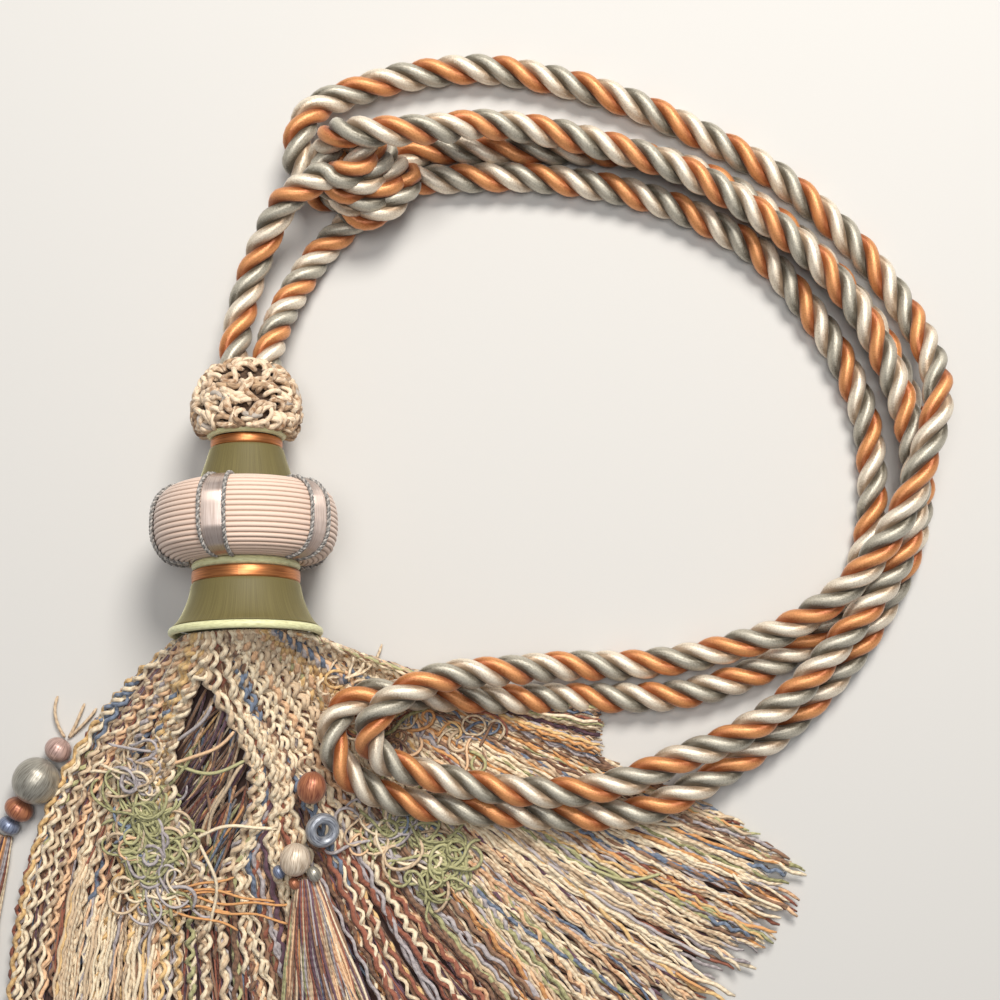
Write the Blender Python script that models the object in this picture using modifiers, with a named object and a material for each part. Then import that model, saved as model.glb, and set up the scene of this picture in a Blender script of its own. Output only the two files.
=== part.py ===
"""Curtain tieback tassel, lying on a flat surface with its rope looped beside it.

A turned head (ruff, cone, corded bulge, bell) with a thread skirt, two beaded
drops and one three-strand rope, knotted above the head and laid in two loops.
Metres, +Z up. The surface is z = 0, and the origin is the flat spot under the
bulge. The head's axis lies in the YZ plane and dips towards +Y, so that the
bell is raised on its skirt, which spreads towards -Y.
"""

import math

import bmesh
import bpy
from mathutils import Matrix, Vector
from mathutils.bvhtree import BVHTree

MM = 0.001
GAP = 0.3                      # between pieces that touch, in mm like every size below

# Head: radii and stations along its axis, from the middle of the bulge
HEAD_DIP_DEG = 9.0
HEAD_YAW_DEG = 1.4             # turns the ruff a little towards -X
BULGE_HEIGHT = 26.6            # height of the axis over the surface at the bulge
TURN_STEPS = 32
CUTTER_SIZE = 60.0             # the block that cuts the bulge's flat spot

NECK_RUFF = [(0, 49.2), (8, 49.2), (12, 47.6), (14.8, 43), (15.8, 37), (15.6, 32), (14.4, 28.4),
             (13.1, 26.6), (12.2, 26.6), (12.2, 28.8), (0, 28.8)]
NECK_RING = [(0, 28.5), (11, 28.5), (11.8, 27.1), (11, 25.7), (0, 25.7)]
NECK_BAND = [(0, 25.4), (10.4, 25.4), (10.7, 24.1), (10.4, 22.8), (0, 22.8)]
UPPER_CONE = [(0, 22.5), (10.9, 22.5), (12, 18.6), (13.2, 14.9), (14.4, 11.2), (0, 11.2)]
BULGE = [(0, 10.9), (14.8, 10.9), (18.5, 11.3), (22, 10.4), (25, 8.2), (26.5, 5.2), (27, 2), (27, -2.4),
         (26.5, -5.6), (25, -8.5), (22, -10.7), (18.5, -11.6), (14.8, -11.3), (0, -11.3)]
WAIST_RING = [(0, -11.8), (15, -11.8), (15.8, -12.9), (15, -14.1), (0, -14.1)]
WAIST_BAND = [(0, -14.4), (15.6, -14.4), (15.9, -16.1), (15.6, -17.8), (0, -17.8)]
LOWER_BELL = [(0, -18.1), (16, -18.1), (16.8, -22.4), (18.4, -26.3), (20.3, -29.4), (21.6, -30.8),
              (0, -30.8)]
BELL_RIM = [(20.7, -31.1), (21.8, -31.1), (22.4, -32.2), (21.8, -33.4), (20.6, -33.2), (20.3, -32.2)]

# Five satin ribbons over the bulge, each between its neck edge and its waist edge
RIBBON_COUNT = 5
RIBBON_FIRST_DEG = -13.0       # from straight up, towards +X
RIBBON_HALF_DEG = 7.5
RIBBON_STEPS = 4
RIBBON_THICK = 0.7
BULGE_HALF_LENGTH = 11.3
RIBBON_LINE = [(18.5, 11.3), (22, 10.4), (25, 8.2), (26.5, 5.2), (27, 2), (27, -2.4),
               (26.5, -5.6), (25, -8.5), (22, -10.7), (18.5, -11.6)]

# Skirt: one comb of locks that leave the bell's mouth and spread over the surface
MOUTH_RADIUS = 18.8
MOUTH_SHARE = 0.97             # how much of the mouth's width the locks leave from
MOUTH_IN = -31.1               # where the threads are gathered, close under the bell
MOUTH_OUT = -35.0              # just past the rim
LOCK_STEPS = 7
LOCK_EASE = 1.25               # makes a lock's first steps the shortest
LOCK_EDGE = 0.3                # half a lock's width, where the locks' spacing is 1
NOTCH_REACH = 0.9              # how far the notch between two locks reaches
LEAVE_REACH = 0.48             # how long a lock keeps the direction it leaves in
TOUCH_DOWN = 0.16              # share of a lock's length after which it lies on the surface
SKIRT_LOCKS = [
    # tip_x, tip_y, tip_height, leave_deg from -Y towards +X, fall, dip
    (-73, -152, 6, -61, 5.5, 0),
    (-64, -175, 7, -45, 4.6, 0),
    (-44, -190, 8, -26, 3.6, 0),
    (-18, -198, 9, -14, 2.8, 5),
    (13, -202, 9, -4, 2.8, 5),
    (43, -199, 9, 6, 3.6, 0),
    (69, -191, 8, 15, 4.8, 0),
    (94, -179, 7, 24, 6.0, 0),
    (119, -164, 6, 32, 7.0, 0),
    (139, -147, 5, 39, 8.0, 0),
    (153, -133, 4, 45, 8.5, 0),
    (164, -119, 4, 50, 9.0, 0),
    (166, -105, 3, 55, 9.0, 0),
    (146, -89, 3, 60, 9.0, 0),
    (107, -66, 6, 64, 5.0, 0),
]

# Rope: one length, from the ruff through the knot and both loops and back to the ruff
ROPE_DIAMETER = 9.5
ROPE_SIDES = 2                 # bevel resolution of the rope's tubes
ROPE_STEP = 24.0               # distance between the tube's points on a straight run
ROPE_BEND_STEP = 0.8           # and the turn between them on a bend, in radians
ROPE_MIN_STEPS = 4
LEG_LEFT = [(-5.2, 49.8, 18.8), (-4.4, 60, 15), (-2, 72, 13), (2, 83, 14.5), (8, 93.5, 19.5),
            (12.2, 99, 23.6), (18.2, 102.4, 26.6)]
OUTER_LOOP = [
    (13.2, 110.6, 12.2), (13, 113, 13.5), (13.2, 116, 14.5), (14.2, 120.4, 14.8), (16.8, 125.6, 14),
    (21.4, 129.7, 11.5), (27.2, 132.6, 9.2), (34.5, 135.8, 7.4), (46, 139.4, 5.6), (69, 142, 5),
    (94, 138, 5), (119, 130, 5), (150, 115, 5), (168, 103, 5), (187, 85, 5), (200, 66, 8.5),
    (206, 50, 16), (206, 36, 23), (202, 22, 24.5), (197, 8, 24.5),
    (190, -5, 23), (179, -19, 19.5), (163, -31, 13), (147, -37, 8.5), (131, -41, 6), (114, -43, 5.5),
    (95, -43, 9.5), (76, -44, 18.5), (60, -45, 25), (48, -49, 29.5), (39, -56, 29.8), (36.5, -63.5, 27),
    (42, -70.5, 23), (54, -75, 19), (72, -79, 17), (94, -80.5, 16), (112, -77.5, 15.5), (128, -71, 15),
    (146, -64, 14), (162, -53, 14), (174, -40, 14.5), (186, -25, 14.8), (195, -12, 14.8),
    (200, 3, 14.8), (201, 20, 14.8), (197, 38, 14.8), (191, 53, 14.8), (183, 67, 14.8), (170, 82, 14.8),
    (152, 96, 14.8), (131, 108, 14.8), (106, 116, 15.2), (84, 120.5, 16.5), (68, 120.8, 20.5),
    (61, 118.9, 24.5), (54, 117.4, 28.2), (47, 116.3, 31), (40, 115.6, 32.5), (33, 115.6, 32.2),
    (28, 115.8, 30.4),
]
INNER_LOOP = [
    (52.4, 107.3, 5.3), (60, 107.6, 5), (70, 108, 5), (84, 108, 5), (102, 106, 5), (120, 102, 5),
    (138, 95, 5), (156, 84, 5), (170, 68, 5), (181, 51, 5), (188, 33, 5), (190, 15, 5), (189, -2, 5),
    (184, -18, 5), (175, -31, 5), (162, -41, 5), (146, -48, 5), (130, -52, 5), (113, -53, 5), (95, -53, 5.5),
    (77, -53, 10), (61, -52, 14), (47, -51, 18), (35, -51, 21.8), (26.5, -57, 22.8), (25.5, -66, 22.3),
    (30, -74.5, 20), (38.5, -80.5, 17), (49, -84, 14.5), (60, -86, 12.5), (76, -87, 11),
    (96, -88.5, 9.5), (118, -87, 9.5), (135, -79.5, 9.5), (150, -71, 6.5), (165, -60, 5), (181, -43, 5),
    (193, -25, 5), (201, -8, 5), (204.5, 9, 5), (204, 26, 5), (200, 42, 5), (194, 56, 5),
    (185.5, 69, 5), (172, 84.5, 5), (153.5, 100, 5), (135, 110, 5), (117, 115, 5), (99, 116.5, 5),
    (81, 116.6, 5), (65, 116.6, 5), (45.4, 116.6, 5),
]
LEG_RIGHT = [(27.2, 92.5, 5), (19.5, 84.5, 5), (14, 76, 7), (9.5, 67, 10.5), (6.7, 59, 14.5),
             (4.9, 50.4, 18.2)]

# Knot: four turns of the rope in one rounded mass, flat side down
KNOT_CENTRE = (34, 105.6, 14.2)
KNOT_HEADING_DEG = -42.0
KNOT_DIP_DEG = 12.0
KNOT_TURNS = 4
KNOT_PITCH = 6.8
KNOT_RADIUS = 11.6             # over the crest of the largest turn, at right angles to the surface
KNOT_TAPER = 0.15              # how much smaller the smallest turn is
KNOT_WIDEN = 1.3               # how much wider a turn is than it is high
KNOT_VALLEY = 0.93             # the radius between two turns, as a share of the crest's
KNOT_CREST = 2.6               # how long a crest is flat along the axis
KNOT_END = 2.0                 # how far the ends stand past the last turn
KNOT_END_SHARE = 0.6           # their radius, as a share of the crest's
KNOT_END_ROUND = 0.6           # and how much they are domed
KNOT_STEPS = 20

# Beads: a string of four at the skirt's edge (half length, half width), and three on the skirt
SIDE_BEADS_START = (-58.8, -66)
SIDE_BEADS = [
    ("side_bead_pink", 3.6, 4.2),
    ("side_bead_silver", 7.0, 7.2),
    ("side_bead_copper", 3.4, 4.6),
    ("side_bead_blue", 2.4, 3.4),
]
SIDE_BEAD_HEADING_DEG = -123.0
FRONT_BEADS = [
    ("front_bead_copper", 19, -78.5, 4.8, 4.4),
    ("front_bead_ring", 22, -91.5, 5.2, 5.0),
    ("front_bead_cream", 14, -100, 4.9, 4.6),
]
FRONT_BEAD_HEADING_DEG = -100.0
BEAD_SEGMENTS = 12
BEAD_RINGS = 8
BEAD_PROBE = 3.0               # how far from a bead's middle the skirt is felt for height
SIDE_DROP = [
    # x, y, half_width, height
    (-78, -95.3, 2.6, 5),
    (-80.6, -104, 4.2, 7),
    (-84.5, -116, 6, 8),
    (-88.5, -132, 8, 7),
    (-92, -150, 9.5, 5),
]
FRONT_DROP = [
    # x, y, half_width, height
    (17, -106, 3, 6),
    (18, -114, 5.5, 7.5),
    (20, -130, 9.5, 8),
    (23, -149, 13.5, 7),
    (26, -168, 16, 5),
]
DROP_ACROSS = (-1, -0.6, 0, 0.6, 1)
DROP_EDGE_THINNER = 0.45       # how much of its height a drop loses at its edges
DROP_LIFT = 0.8                # lets the front drop's facets clear the skirt's

COLOURS = {
    # colour, roughness
    "ruff_yarn": ((0.62, 0.5, 0.38), 0.9),
    "lime_cord": ((0.68, 0.68, 0.4), 0.7),
    "copper_satin": ((0.6, 0.27, 0.09), 0.35),
    "olive_wrap": ((0.3, 0.27, 0.1), 0.75),
    "cream_cord": ((0.78, 0.66, 0.55), 0.7),
    "silver_satin": ((0.66, 0.55, 0.5), 0.3),
    "skirt_thread": ((0.6, 0.49, 0.36), 0.85),
    "drop_thread": ((0.33, 0.14, 0.08), 0.8),
    "rope_satin": ((0.75, 0.5, 0.3), 0.45),
    "bead_satin": ((0.6, 0.55, 0.5), 0.35),
}


def clear_scene():
    for item in list(bpy.data.objects):
        bpy.data.objects.remove(item, do_unlink=True)


def new_collection(name):
    collection = bpy.data.collections.new(name)
    bpy.context.scene.collection.children.link(collection)
    return collection


def material(name):
    found = bpy.data.materials.get(name)
    if found:
        return found
    colour, roughness = COLOURS[name]
    made = bpy.data.materials.new(name)
    made.use_nodes = True
    shader = made.node_tree.nodes["Principled BSDF"]
    shader.inputs["Base Color"].default_value = (*colour, 1)
    shader.inputs["Roughness"].default_value = roughness
    shader.inputs["Metallic"].default_value = 0.0
    return made


def add_object(name, data, slot, collection, parent=None):
    item = bpy.data.objects.new(name, data)
    data.materials.append(material(slot))
    collection.objects.link(item)
    item.parent = parent
    return item


def line_mesh(name, points, closed=False):
    """A profile line in the XZ plane from (radius, station) pairs in mm."""
    mesh = bpy.data.meshes.new(name)
    verts = [(radius * MM, 0, station * MM) for radius, station in points]
    edges = [(i, i + 1) for i in range(len(verts) - 1)]
    if closed:
        edges.append((len(verts) - 1, 0))
    mesh.from_pydata(verts, edges, [])
    return mesh


def add_screw(item, angle, steps):
    screw = item.modifiers.new("turn", "SCREW")
    screw.axis = "Z"
    screw.angle = angle
    screw.steps = steps
    screw.render_steps = steps
    screw.use_merge_vertices = True
    screw.merge_threshold = 0.00001
    screw.use_smooth_shade = True
    return screw


def turned(name, profile, slot, collection, parent, closed=False):
    """A solid of revolution about its parent's Z axis."""
    item = add_object(name, line_mesh(name, profile, closed), slot, collection, parent)
    add_screw(item, math.tau, TURN_STEPS)
    return item


def head_point(side, up, station):
    """A point of the head, from mm to the right, above the axis and along it."""
    dip = math.radians(HEAD_DIP_DEG)
    yaw = math.radians(HEAD_YAW_DEG)
    ahead = station * math.cos(dip) + up * math.sin(dip)
    x = side * math.cos(yaw) - ahead * math.sin(yaw)
    y = side * math.sin(yaw) + ahead * math.cos(yaw)
    z = BULGE_HEIGHT - station * math.sin(dip) + up * math.cos(dip)
    return Vector((x, y, z))


def add_head(collection, cutters):
    axis = bpy.data.objects.new("head_axis", None)
    collection.objects.link(axis)
    axis.location = (0, 0, BULGE_HEIGHT * MM)
    axis.rotation_euler = (math.radians(-90 - HEAD_DIP_DEG), 0, math.radians(HEAD_YAW_DEG))
    turned("neck_ruff", NECK_RUFF, "ruff_yarn", collection, axis)
    turned("neck_ring", NECK_RING, "lime_cord", collection, axis)
    turned("neck_band", NECK_BAND, "copper_satin", collection, axis)
    turned("upper_cone", UPPER_CONE, "olive_wrap", collection, axis)
    bulge = turned("bulge", BULGE, "cream_cord", collection, axis)
    turned("waist_ring", WAIST_RING, "lime_cord", collection, axis)
    turned("waist_band", WAIST_BAND, "copper_satin", collection, axis)
    turned("lower_bell", LOWER_BELL, "olive_wrap", collection, axis)
    turned("bell_rim", BELL_RIM, "lime_cord", collection, axis, closed=True)
    surface = surface_cutter(cutters)
    flatten_underside(bulge, surface)
    for index in range(RIBBON_COUNT):
        ribbon = add_ribbon(index, collection, axis)
        flatten_underside(ribbon, surface)


def surface_cutter(collection):
    """A block whose upper face is the surface that the tassel lies on."""
    mesh = bpy.data.meshes.new("surface_cutter")
    box = bmesh.new()
    bmesh.ops.create_cube(box, size=CUTTER_SIZE * MM)
    bmesh.ops.translate(box, verts=box.verts, vec=(0, 0, -CUTTER_SIZE / 2 * MM))
    box.to_mesh(mesh)
    box.free()
    cutter = bpy.data.objects.new("surface_cutter", mesh)
    collection.objects.link(cutter)
    cutter.hide_render = True
    cutter.display_type = "WIRE"
    return cutter


def flatten_underside(item, cutter):
    """Cut away what reaches below the surface, which leaves a small flat spot."""
    cut = item.modifiers.new("flat_spot", "BOOLEAN")
    cut.operation = "DIFFERENCE"
    cut.solver = "EXACT"
    cut.object = cutter


def add_ribbon(index, collection, axis):
    """A satin strip laid over the bulge, from its neck edge to its waist edge."""
    line = [(radius + GAP, station * (1 + GAP / BULGE_HALF_LENGTH)) for radius, station in RIBBON_LINE]
    name = f"bulge_ribbon_{index + 1}"
    item = add_object(name, line_mesh(name, line), "silver_satin", collection, axis)
    from_up = RIBBON_FIRST_DEG + index * 360 / RIBBON_COUNT
    # a turned piece starts at its axis's +X, which lies 90 degrees from straight up
    item.rotation_euler = (0, 0, math.radians(from_up - 90 - RIBBON_HALF_DEG))
    add_screw(item, math.radians(2 * RIBBON_HALF_DEG), RIBBON_STEPS)
    shell = item.modifiers.new("thickness", "SOLIDIFY")
    shell.thickness = RIBBON_THICK * MM
    shell.offset = 1.0
    return item


def closed_grid(name, rows, slot, collection, parent=None):
    """A closed solid lofted through rows of (top, bottom) points, in mm.

    Each row runs along the piece; the rows follow each other across it.
    """
    shape = bmesh.new()
    tops = [[shape.verts.new(top * MM) for top, _ in row] for row in rows]
    bottoms = [[shape.verts.new(bottom * MM) for _, bottom in row] for row in rows]
    last_row = len(rows) - 1
    last_step = len(rows[0]) - 1
    for i in range(last_row):
        for j in range(last_step):
            shape.faces.new((tops[i][j], tops[i + 1][j], tops[i + 1][j + 1], tops[i][j + 1]))
            shape.faces.new((bottoms[i][j], bottoms[i][j + 1], bottoms[i + 1][j + 1], bottoms[i + 1][j]))
        for j in (0, last_step):
            shape.faces.new((tops[i][j], bottoms[i][j], bottoms[i + 1][j], tops[i + 1][j]))
    for j in range(last_step):
        for i in (0, last_row):
            shape.faces.new((tops[i][j], tops[i][j + 1], bottoms[i][j + 1], bottoms[i][j]))
    bmesh.ops.recalc_face_normals(shape, faces=shape.faces)
    mesh = bpy.data.meshes.new(name)
    shape.to_mesh(mesh)
    shape.free()
    return add_object(name, mesh, slot, collection, parent)


def skirt_slices():
    """Rows across the skirt: both edges of each lock, with a notch between two locks."""
    slices = []
    count = len(SKIRT_LOCKS)
    for index, lock in enumerate(SKIRT_LOCKS):
        for offset in (-LOCK_EDGE, LOCK_EDGE):
            place = min(max(index + offset, 0), count - 1)
            slices.append((place, 1.0))
        if index < count - 1:
            slices.append((index + 0.5, NOTCH_REACH))
    return slices


def lock_at(place):
    """The table's row at a place between two locks."""
    first = min(int(place), len(SKIRT_LOCKS) - 2)
    share = place - first
    return [a + (b - a) * share for a, b in zip(SKIRT_LOCKS[first], SKIRT_LOCKS[first + 1])]


def skirt_row(place, reach):
    tip_x, tip_y, tip_height, leave_deg, fall, dip = lock_at(place)
    across = 2 * place / (len(SKIRT_LOCKS) - 1) - 1
    side = MOUTH_RADIUS * MOUTH_SHARE * across
    half = math.sqrt(MOUTH_RADIUS ** 2 - side ** 2)
    inside = (head_point(side, half, MOUTH_IN), head_point(side, -half, MOUTH_IN))
    start_top = head_point(side, half, MOUTH_OUT)
    start_low = head_point(side, -half, MOUTH_OUT)
    start = (start_top + start_low) / 2
    leave = math.radians(leave_deg)
    tip = Vector((tip_x, tip_y, 0))
    turn = start + Vector((math.sin(leave), -math.cos(leave), 0)) * LEAVE_REACH * (tip - start).length
    row = [inside, (start_top, start_low)]
    for step in range(1, LOCK_STEPS + 1):
        along = (step / LOCK_STEPS) ** LOCK_EASE * reach
        middle = start * (1 - along) ** 2 + turn * 2 * along * (1 - along) + tip * along ** 2
        top_z = tip_height + (start_top.z - tip_height) * (1 - along) ** fall
        top_z -= dip * math.sin(math.pi * along) ** 2
        # the slice's top and bottom start apart and come together as it lies down
        spread = max(0.0, 1 - along / TOUCH_DOWN)
        low_z = start_low.z * spread
        top = Vector((middle.x, middle.y + (start_top.y - start.y) * spread, top_z))
        low = Vector((middle.x, middle.y + (start_low.y - start.y) * spread, low_z))
        row.append((top, low))
    return row


def add_skirt(collection):
    rows = [skirt_row(place, reach) for place, reach in skirt_slices()]
    return closed_grid("skirt", rows, "skirt_thread", collection)


def smooth_route(points, samples=24):
    """Dense points of a Catmull-Rom curve through a route's own points."""
    knots = [Vector(point) for point in points]
    knots.insert(0, knots[0] * 2 - knots[1])
    knots.append(knots[-1] * 2 - knots[-2])
    dense = []
    for i in range(1, len(knots) - 2):
        before, start, end, after = knots[i - 1:i + 3]
        for k in range(samples):
            t = k / samples
            dense.append(0.5 * (2 * start + (end - before) * t
                                + (2 * before - 5 * start + 4 * end - after) * t ** 2
                                + (3 * start - before - 3 * end + after) * t ** 3))
    dense.append(knots[-2])
    return dense


def tube_points(points):
    """Points for a tube: a few rope diameters apart, and closer where the rope bends."""
    dense = smooth_route(points)
    weights = [0.0]
    for i in range(1, len(dense)):
        length = (dense[i] - dense[i - 1]).length
        ahead = dense[min(i + 1, len(dense) - 1)] - dense[i]
        turn = (dense[i] - dense[i - 1]).angle(ahead, 0.0)
        weights.append(weights[-1] + length / ROPE_STEP + turn / ROPE_BEND_STEP)
    count = max(ROPE_MIN_STEPS, round(weights[-1]))
    chosen = []
    index = 0
    for k in range(count + 1):
        target = weights[-1] * k / count
        while weights[index] < target - 1e-9:
            index += 1
        chosen.append(dense[index])
    return chosen


def add_tube(name, points, slot, collection):
    curve = bpy.data.curves.new(name, "CURVE")
    curve.dimensions = "3D"
    curve.bevel_depth = ROPE_DIAMETER / 2 * MM
    curve.bevel_resolution = ROPE_SIDES
    curve.use_fill_caps = True
    path = tube_points(points)
    spline = curve.splines.new("POLY")
    spline.points.add(len(path) - 1)
    for spot, point in zip(spline.points, path):
        spot.co = (*(point * MM), 1)
    return add_object(name, curve, slot, collection)


def add_knot(collection):
    """The wound mass of the knot: one crest for each turn, wider than it is high."""
    half = KNOT_TURNS * KNOT_PITCH / 2 + KNOT_END
    profile = [(0, half), (KNOT_RADIUS * KNOT_END_SHARE, half - KNOT_END_ROUND)]
    for turn in range(KNOT_TURNS):
        crest = (KNOT_TURNS / 2 - 0.5 - turn) * KNOT_PITCH
        radius = KNOT_RADIUS * (1 - KNOT_TAPER * turn / (KNOT_TURNS - 1))
        if turn:
            profile.append((radius * KNOT_VALLEY, crest + KNOT_PITCH / 2))
        profile += [(radius, crest + KNOT_CREST / 2), (radius, crest - KNOT_CREST / 2)]
    profile += [(radius * KNOT_END_SHARE, KNOT_END_ROUND - half), (0, -half)]
    item = add_object("rope_knot", line_mesh("rope_knot", profile), "rope_satin", collection)
    add_screw(item, math.tau, KNOT_STEPS)
    heading = math.radians(KNOT_HEADING_DEG)
    dip = math.radians(KNOT_DIP_DEG)
    forward = Vector((math.cos(heading) * math.cos(dip), math.sin(heading) * math.cos(dip), -math.sin(dip)))
    side = Vector((-math.sin(heading), math.cos(heading), 0))
    up = forward.cross(side)
    turned_axes = Matrix((side * KNOT_WIDEN, up, forward)).transposed().to_4x4()
    item.matrix_world = Matrix.Translation(Vector(KNOT_CENTRE) * MM) @ turned_axes
    return item


def add_bead(name, centre, half_length, half_width, heading_deg, collection):
    shape = bmesh.new()
    bmesh.ops.create_uvsphere(shape, u_segments=BEAD_SEGMENTS, v_segments=BEAD_RINGS, radius=MM)
    bmesh.ops.scale(shape, vec=(half_length, half_width, half_width), verts=shape.verts)
    mesh = bpy.data.meshes.new(name)
    shape.to_mesh(mesh)
    shape.free()
    mesh.shade_smooth()
    item = add_object(name, mesh, "bead_satin", collection)
    item.location = Vector(centre) * MM
    item.rotation_euler = (0, 0, math.radians(heading_deg))
    return item


def add_side_beads(collection):
    """Beads threaded end to end, lying on the surface beside the skirt."""
    heading = math.radians(SIDE_BEAD_HEADING_DEG)
    way = Vector((math.cos(heading), math.sin(heading), 0))
    end = Vector((*SIDE_BEADS_START, 0))
    for name, half_length, half_width in SIDE_BEADS:
        centre = end + way * half_length
        centre.z = half_width
        add_bead(name, centre, half_length, half_width, SIDE_BEAD_HEADING_DEG, collection)
        end += way * (2 * half_length + GAP)


def add_front_beads(tree, collection):
    """Beads that lie on the skirt, clear of the highest place under each."""
    for name, x, y, half_length, half_width in FRONT_BEADS:
        under = [(x, y), (x - BEAD_PROBE, y), (x + BEAD_PROBE, y), (x, y - BEAD_PROBE), (x, y + BEAD_PROBE)]
        rest = max(ground_height(tree, *spot) for spot in under)
        centre = (x, y, rest + half_width + GAP)
        add_bead(name, centre, half_length, half_width, FRONT_BEAD_HEADING_DEG, collection)


def ground_height(tree, x, y):
    """Height of the skirt at a place, in mm, or of the surface where there is none."""
    hit = tree.ray_cast(Vector((x, y, 200)) * MM, Vector((0, 0, -1)))
    return hit[0].z / MM if hit[0] else 0.0


def add_drop(name, sections, tree, collection):
    """A small brush of threads that lies on what is under it."""
    rows = []
    for across in DROP_ACROSS:
        row = []
        for index, (x, y, half_width, height) in enumerate(sections):
            ahead = sections[min(index + 1, len(sections) - 1)]
            behind = sections[max(index - 1, 0)]
            way = Vector((ahead[0] - behind[0], ahead[1] - behind[1], 0)).normalized()
            spot = Vector((x, y, 0)) + Vector((-way.y, way.x, 0)) * across * half_width
            low = ground_height(tree, spot.x, spot.y) if tree else 0.0
            low += DROP_LIFT if tree else 0.0
            thick = height * (1 - DROP_EDGE_THINNER * across ** 2)
            row.append((Vector((spot.x, spot.y, low + thick)), Vector((spot.x, spot.y, low))))
        rows.append(row)
    return closed_grid(name, rows, "drop_thread", collection)


def build():
    clear_scene()
    parts = new_collection("curtain_tieback_tassel")
    cutters = new_collection("cutters")
    add_head(parts, cutters)
    skirt = add_skirt(parts)
    tree = BVHTree.FromObject(skirt, bpy.context.evaluated_depsgraph_get())
    add_side_beads(parts)
    add_front_beads(tree, parts)
    add_drop("side_drop", SIDE_DROP, None, parts)
    add_drop("front_drop", FRONT_DROP, tree, parts)
    add_tube("rope_leg_left", LEG_LEFT, "rope_satin", parts)
    add_tube("rope_outer_loop", OUTER_LOOP, "rope_satin", parts)
    add_tube("rope_inner_loop", INNER_LOOP, "rope_satin", parts)
    add_tube("rope_leg_right", LEG_RIGHT, "rope_satin", parts)
    add_knot(parts)


build()
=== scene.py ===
"""Looks of a curtain tieback tassel that lies on a pale surface, seen from above."""

import math

import bpy
import numpy as np
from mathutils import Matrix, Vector
from mathutils.bvhtree import BVHTree


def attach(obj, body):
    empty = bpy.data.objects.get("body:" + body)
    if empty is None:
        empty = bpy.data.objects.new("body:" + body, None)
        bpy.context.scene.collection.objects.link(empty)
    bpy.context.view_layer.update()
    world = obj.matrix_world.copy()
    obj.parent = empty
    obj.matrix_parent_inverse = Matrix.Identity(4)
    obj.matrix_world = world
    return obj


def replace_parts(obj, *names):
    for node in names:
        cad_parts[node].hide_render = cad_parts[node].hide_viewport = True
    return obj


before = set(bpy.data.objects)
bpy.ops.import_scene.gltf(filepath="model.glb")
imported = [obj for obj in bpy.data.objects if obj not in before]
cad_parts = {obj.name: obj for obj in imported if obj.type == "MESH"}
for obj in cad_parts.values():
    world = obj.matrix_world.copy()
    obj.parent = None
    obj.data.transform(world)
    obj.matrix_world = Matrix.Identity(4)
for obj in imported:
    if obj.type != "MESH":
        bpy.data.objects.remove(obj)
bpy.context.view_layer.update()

MM = 0.001


# ---- Studio ---------------------------------------------------------------
# A pale floor, a large soft light overhead and a smaller, warmer one towards
# the back right. The camera hangs almost straight above the tassel.

def plain_finish(name, colour, roughness):
    """A Principled material with one colour, as a start for the finishes below."""
    made = bpy.data.materials.new(name)
    made.use_nodes = True
    shader = made.node_tree.nodes["Principled BSDF"]
    shader.inputs["Base Color"].default_value = (*colour, 1)
    shader.inputs["Roughness"].default_value = roughness
    return made, made.node_tree, shader


def put(name, data):
    """An object in the scene that holds a mesh, a lamp or a camera."""
    item = bpy.data.objects.new(name, data)
    bpy.context.scene.collection.objects.link(item)
    return item


def add_floor():
    mesh = bpy.data.meshes.new("floor")
    reach = 3.0
    mesh.from_pydata([(-reach, -reach, 0), (reach, -reach, 0), (reach, reach, 0), (-reach, reach, 0)],
                     [], [(0, 1, 2, 3)])
    mesh.materials.append(plain_finish("pale_paper", (0.64, 0.63, 0.61), 0.9)[0])
    put("floor", mesh)


def aim_at(item, place, target):
    item.location = place
    item.rotation_euler = (Vector(target) - Vector(place)).to_track_quat("-Z", "Y").to_euler()


def add_light(name, place, target, size, power, colour):
    lamp = bpy.data.lights.new(name, "AREA")
    lamp.shape = "DISK"
    lamp.size = size
    lamp.energy = power
    lamp.color = colour
    aim_at(put(name, lamp), place, target)


def add_camera(place, target, lens):
    data = bpy.data.cameras.new("camera")
    data.lens = lens
    data.sensor_width = 36
    data.clip_start = 0.01
    camera = put("camera", data)
    aim_at(camera, place, target)
    bpy.context.scene.camera = camera


add_floor()
add_camera((0.0751, -0.011, 0.5447), (0.0751, 0.008, 0), 63)
add_light("soft_top", (0.02, 0.12, 1.1), (0.06, 0, 0), 0.45, 4.3, (1, 0.98, 0.95))
add_light("back_window", (0.3, 0.68, 0.9), (0.06, 0, 0), 0.42, 13.5, (1, 0.96, 0.9))
world = bpy.data.worlds.new("room")
bpy.context.scene.world = world
world.use_nodes = True
room_light = world.node_tree.nodes["Background"]
room_light.inputs["Color"].default_value = (0.9, 0.93, 1, 1)
room_light.inputs["Strength"].default_value = 0.2
bpy.context.scene.view_settings.view_transform = "Standard"


# ---- Rope -----------------------------------------------------------------
# One length of furnishing rope: three satin-covered strands, orange, grey and
# cream, laid up to the right. It leaves the ruff, is wound into the knot, runs
# round both loops and goes back into the ruff.

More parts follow.
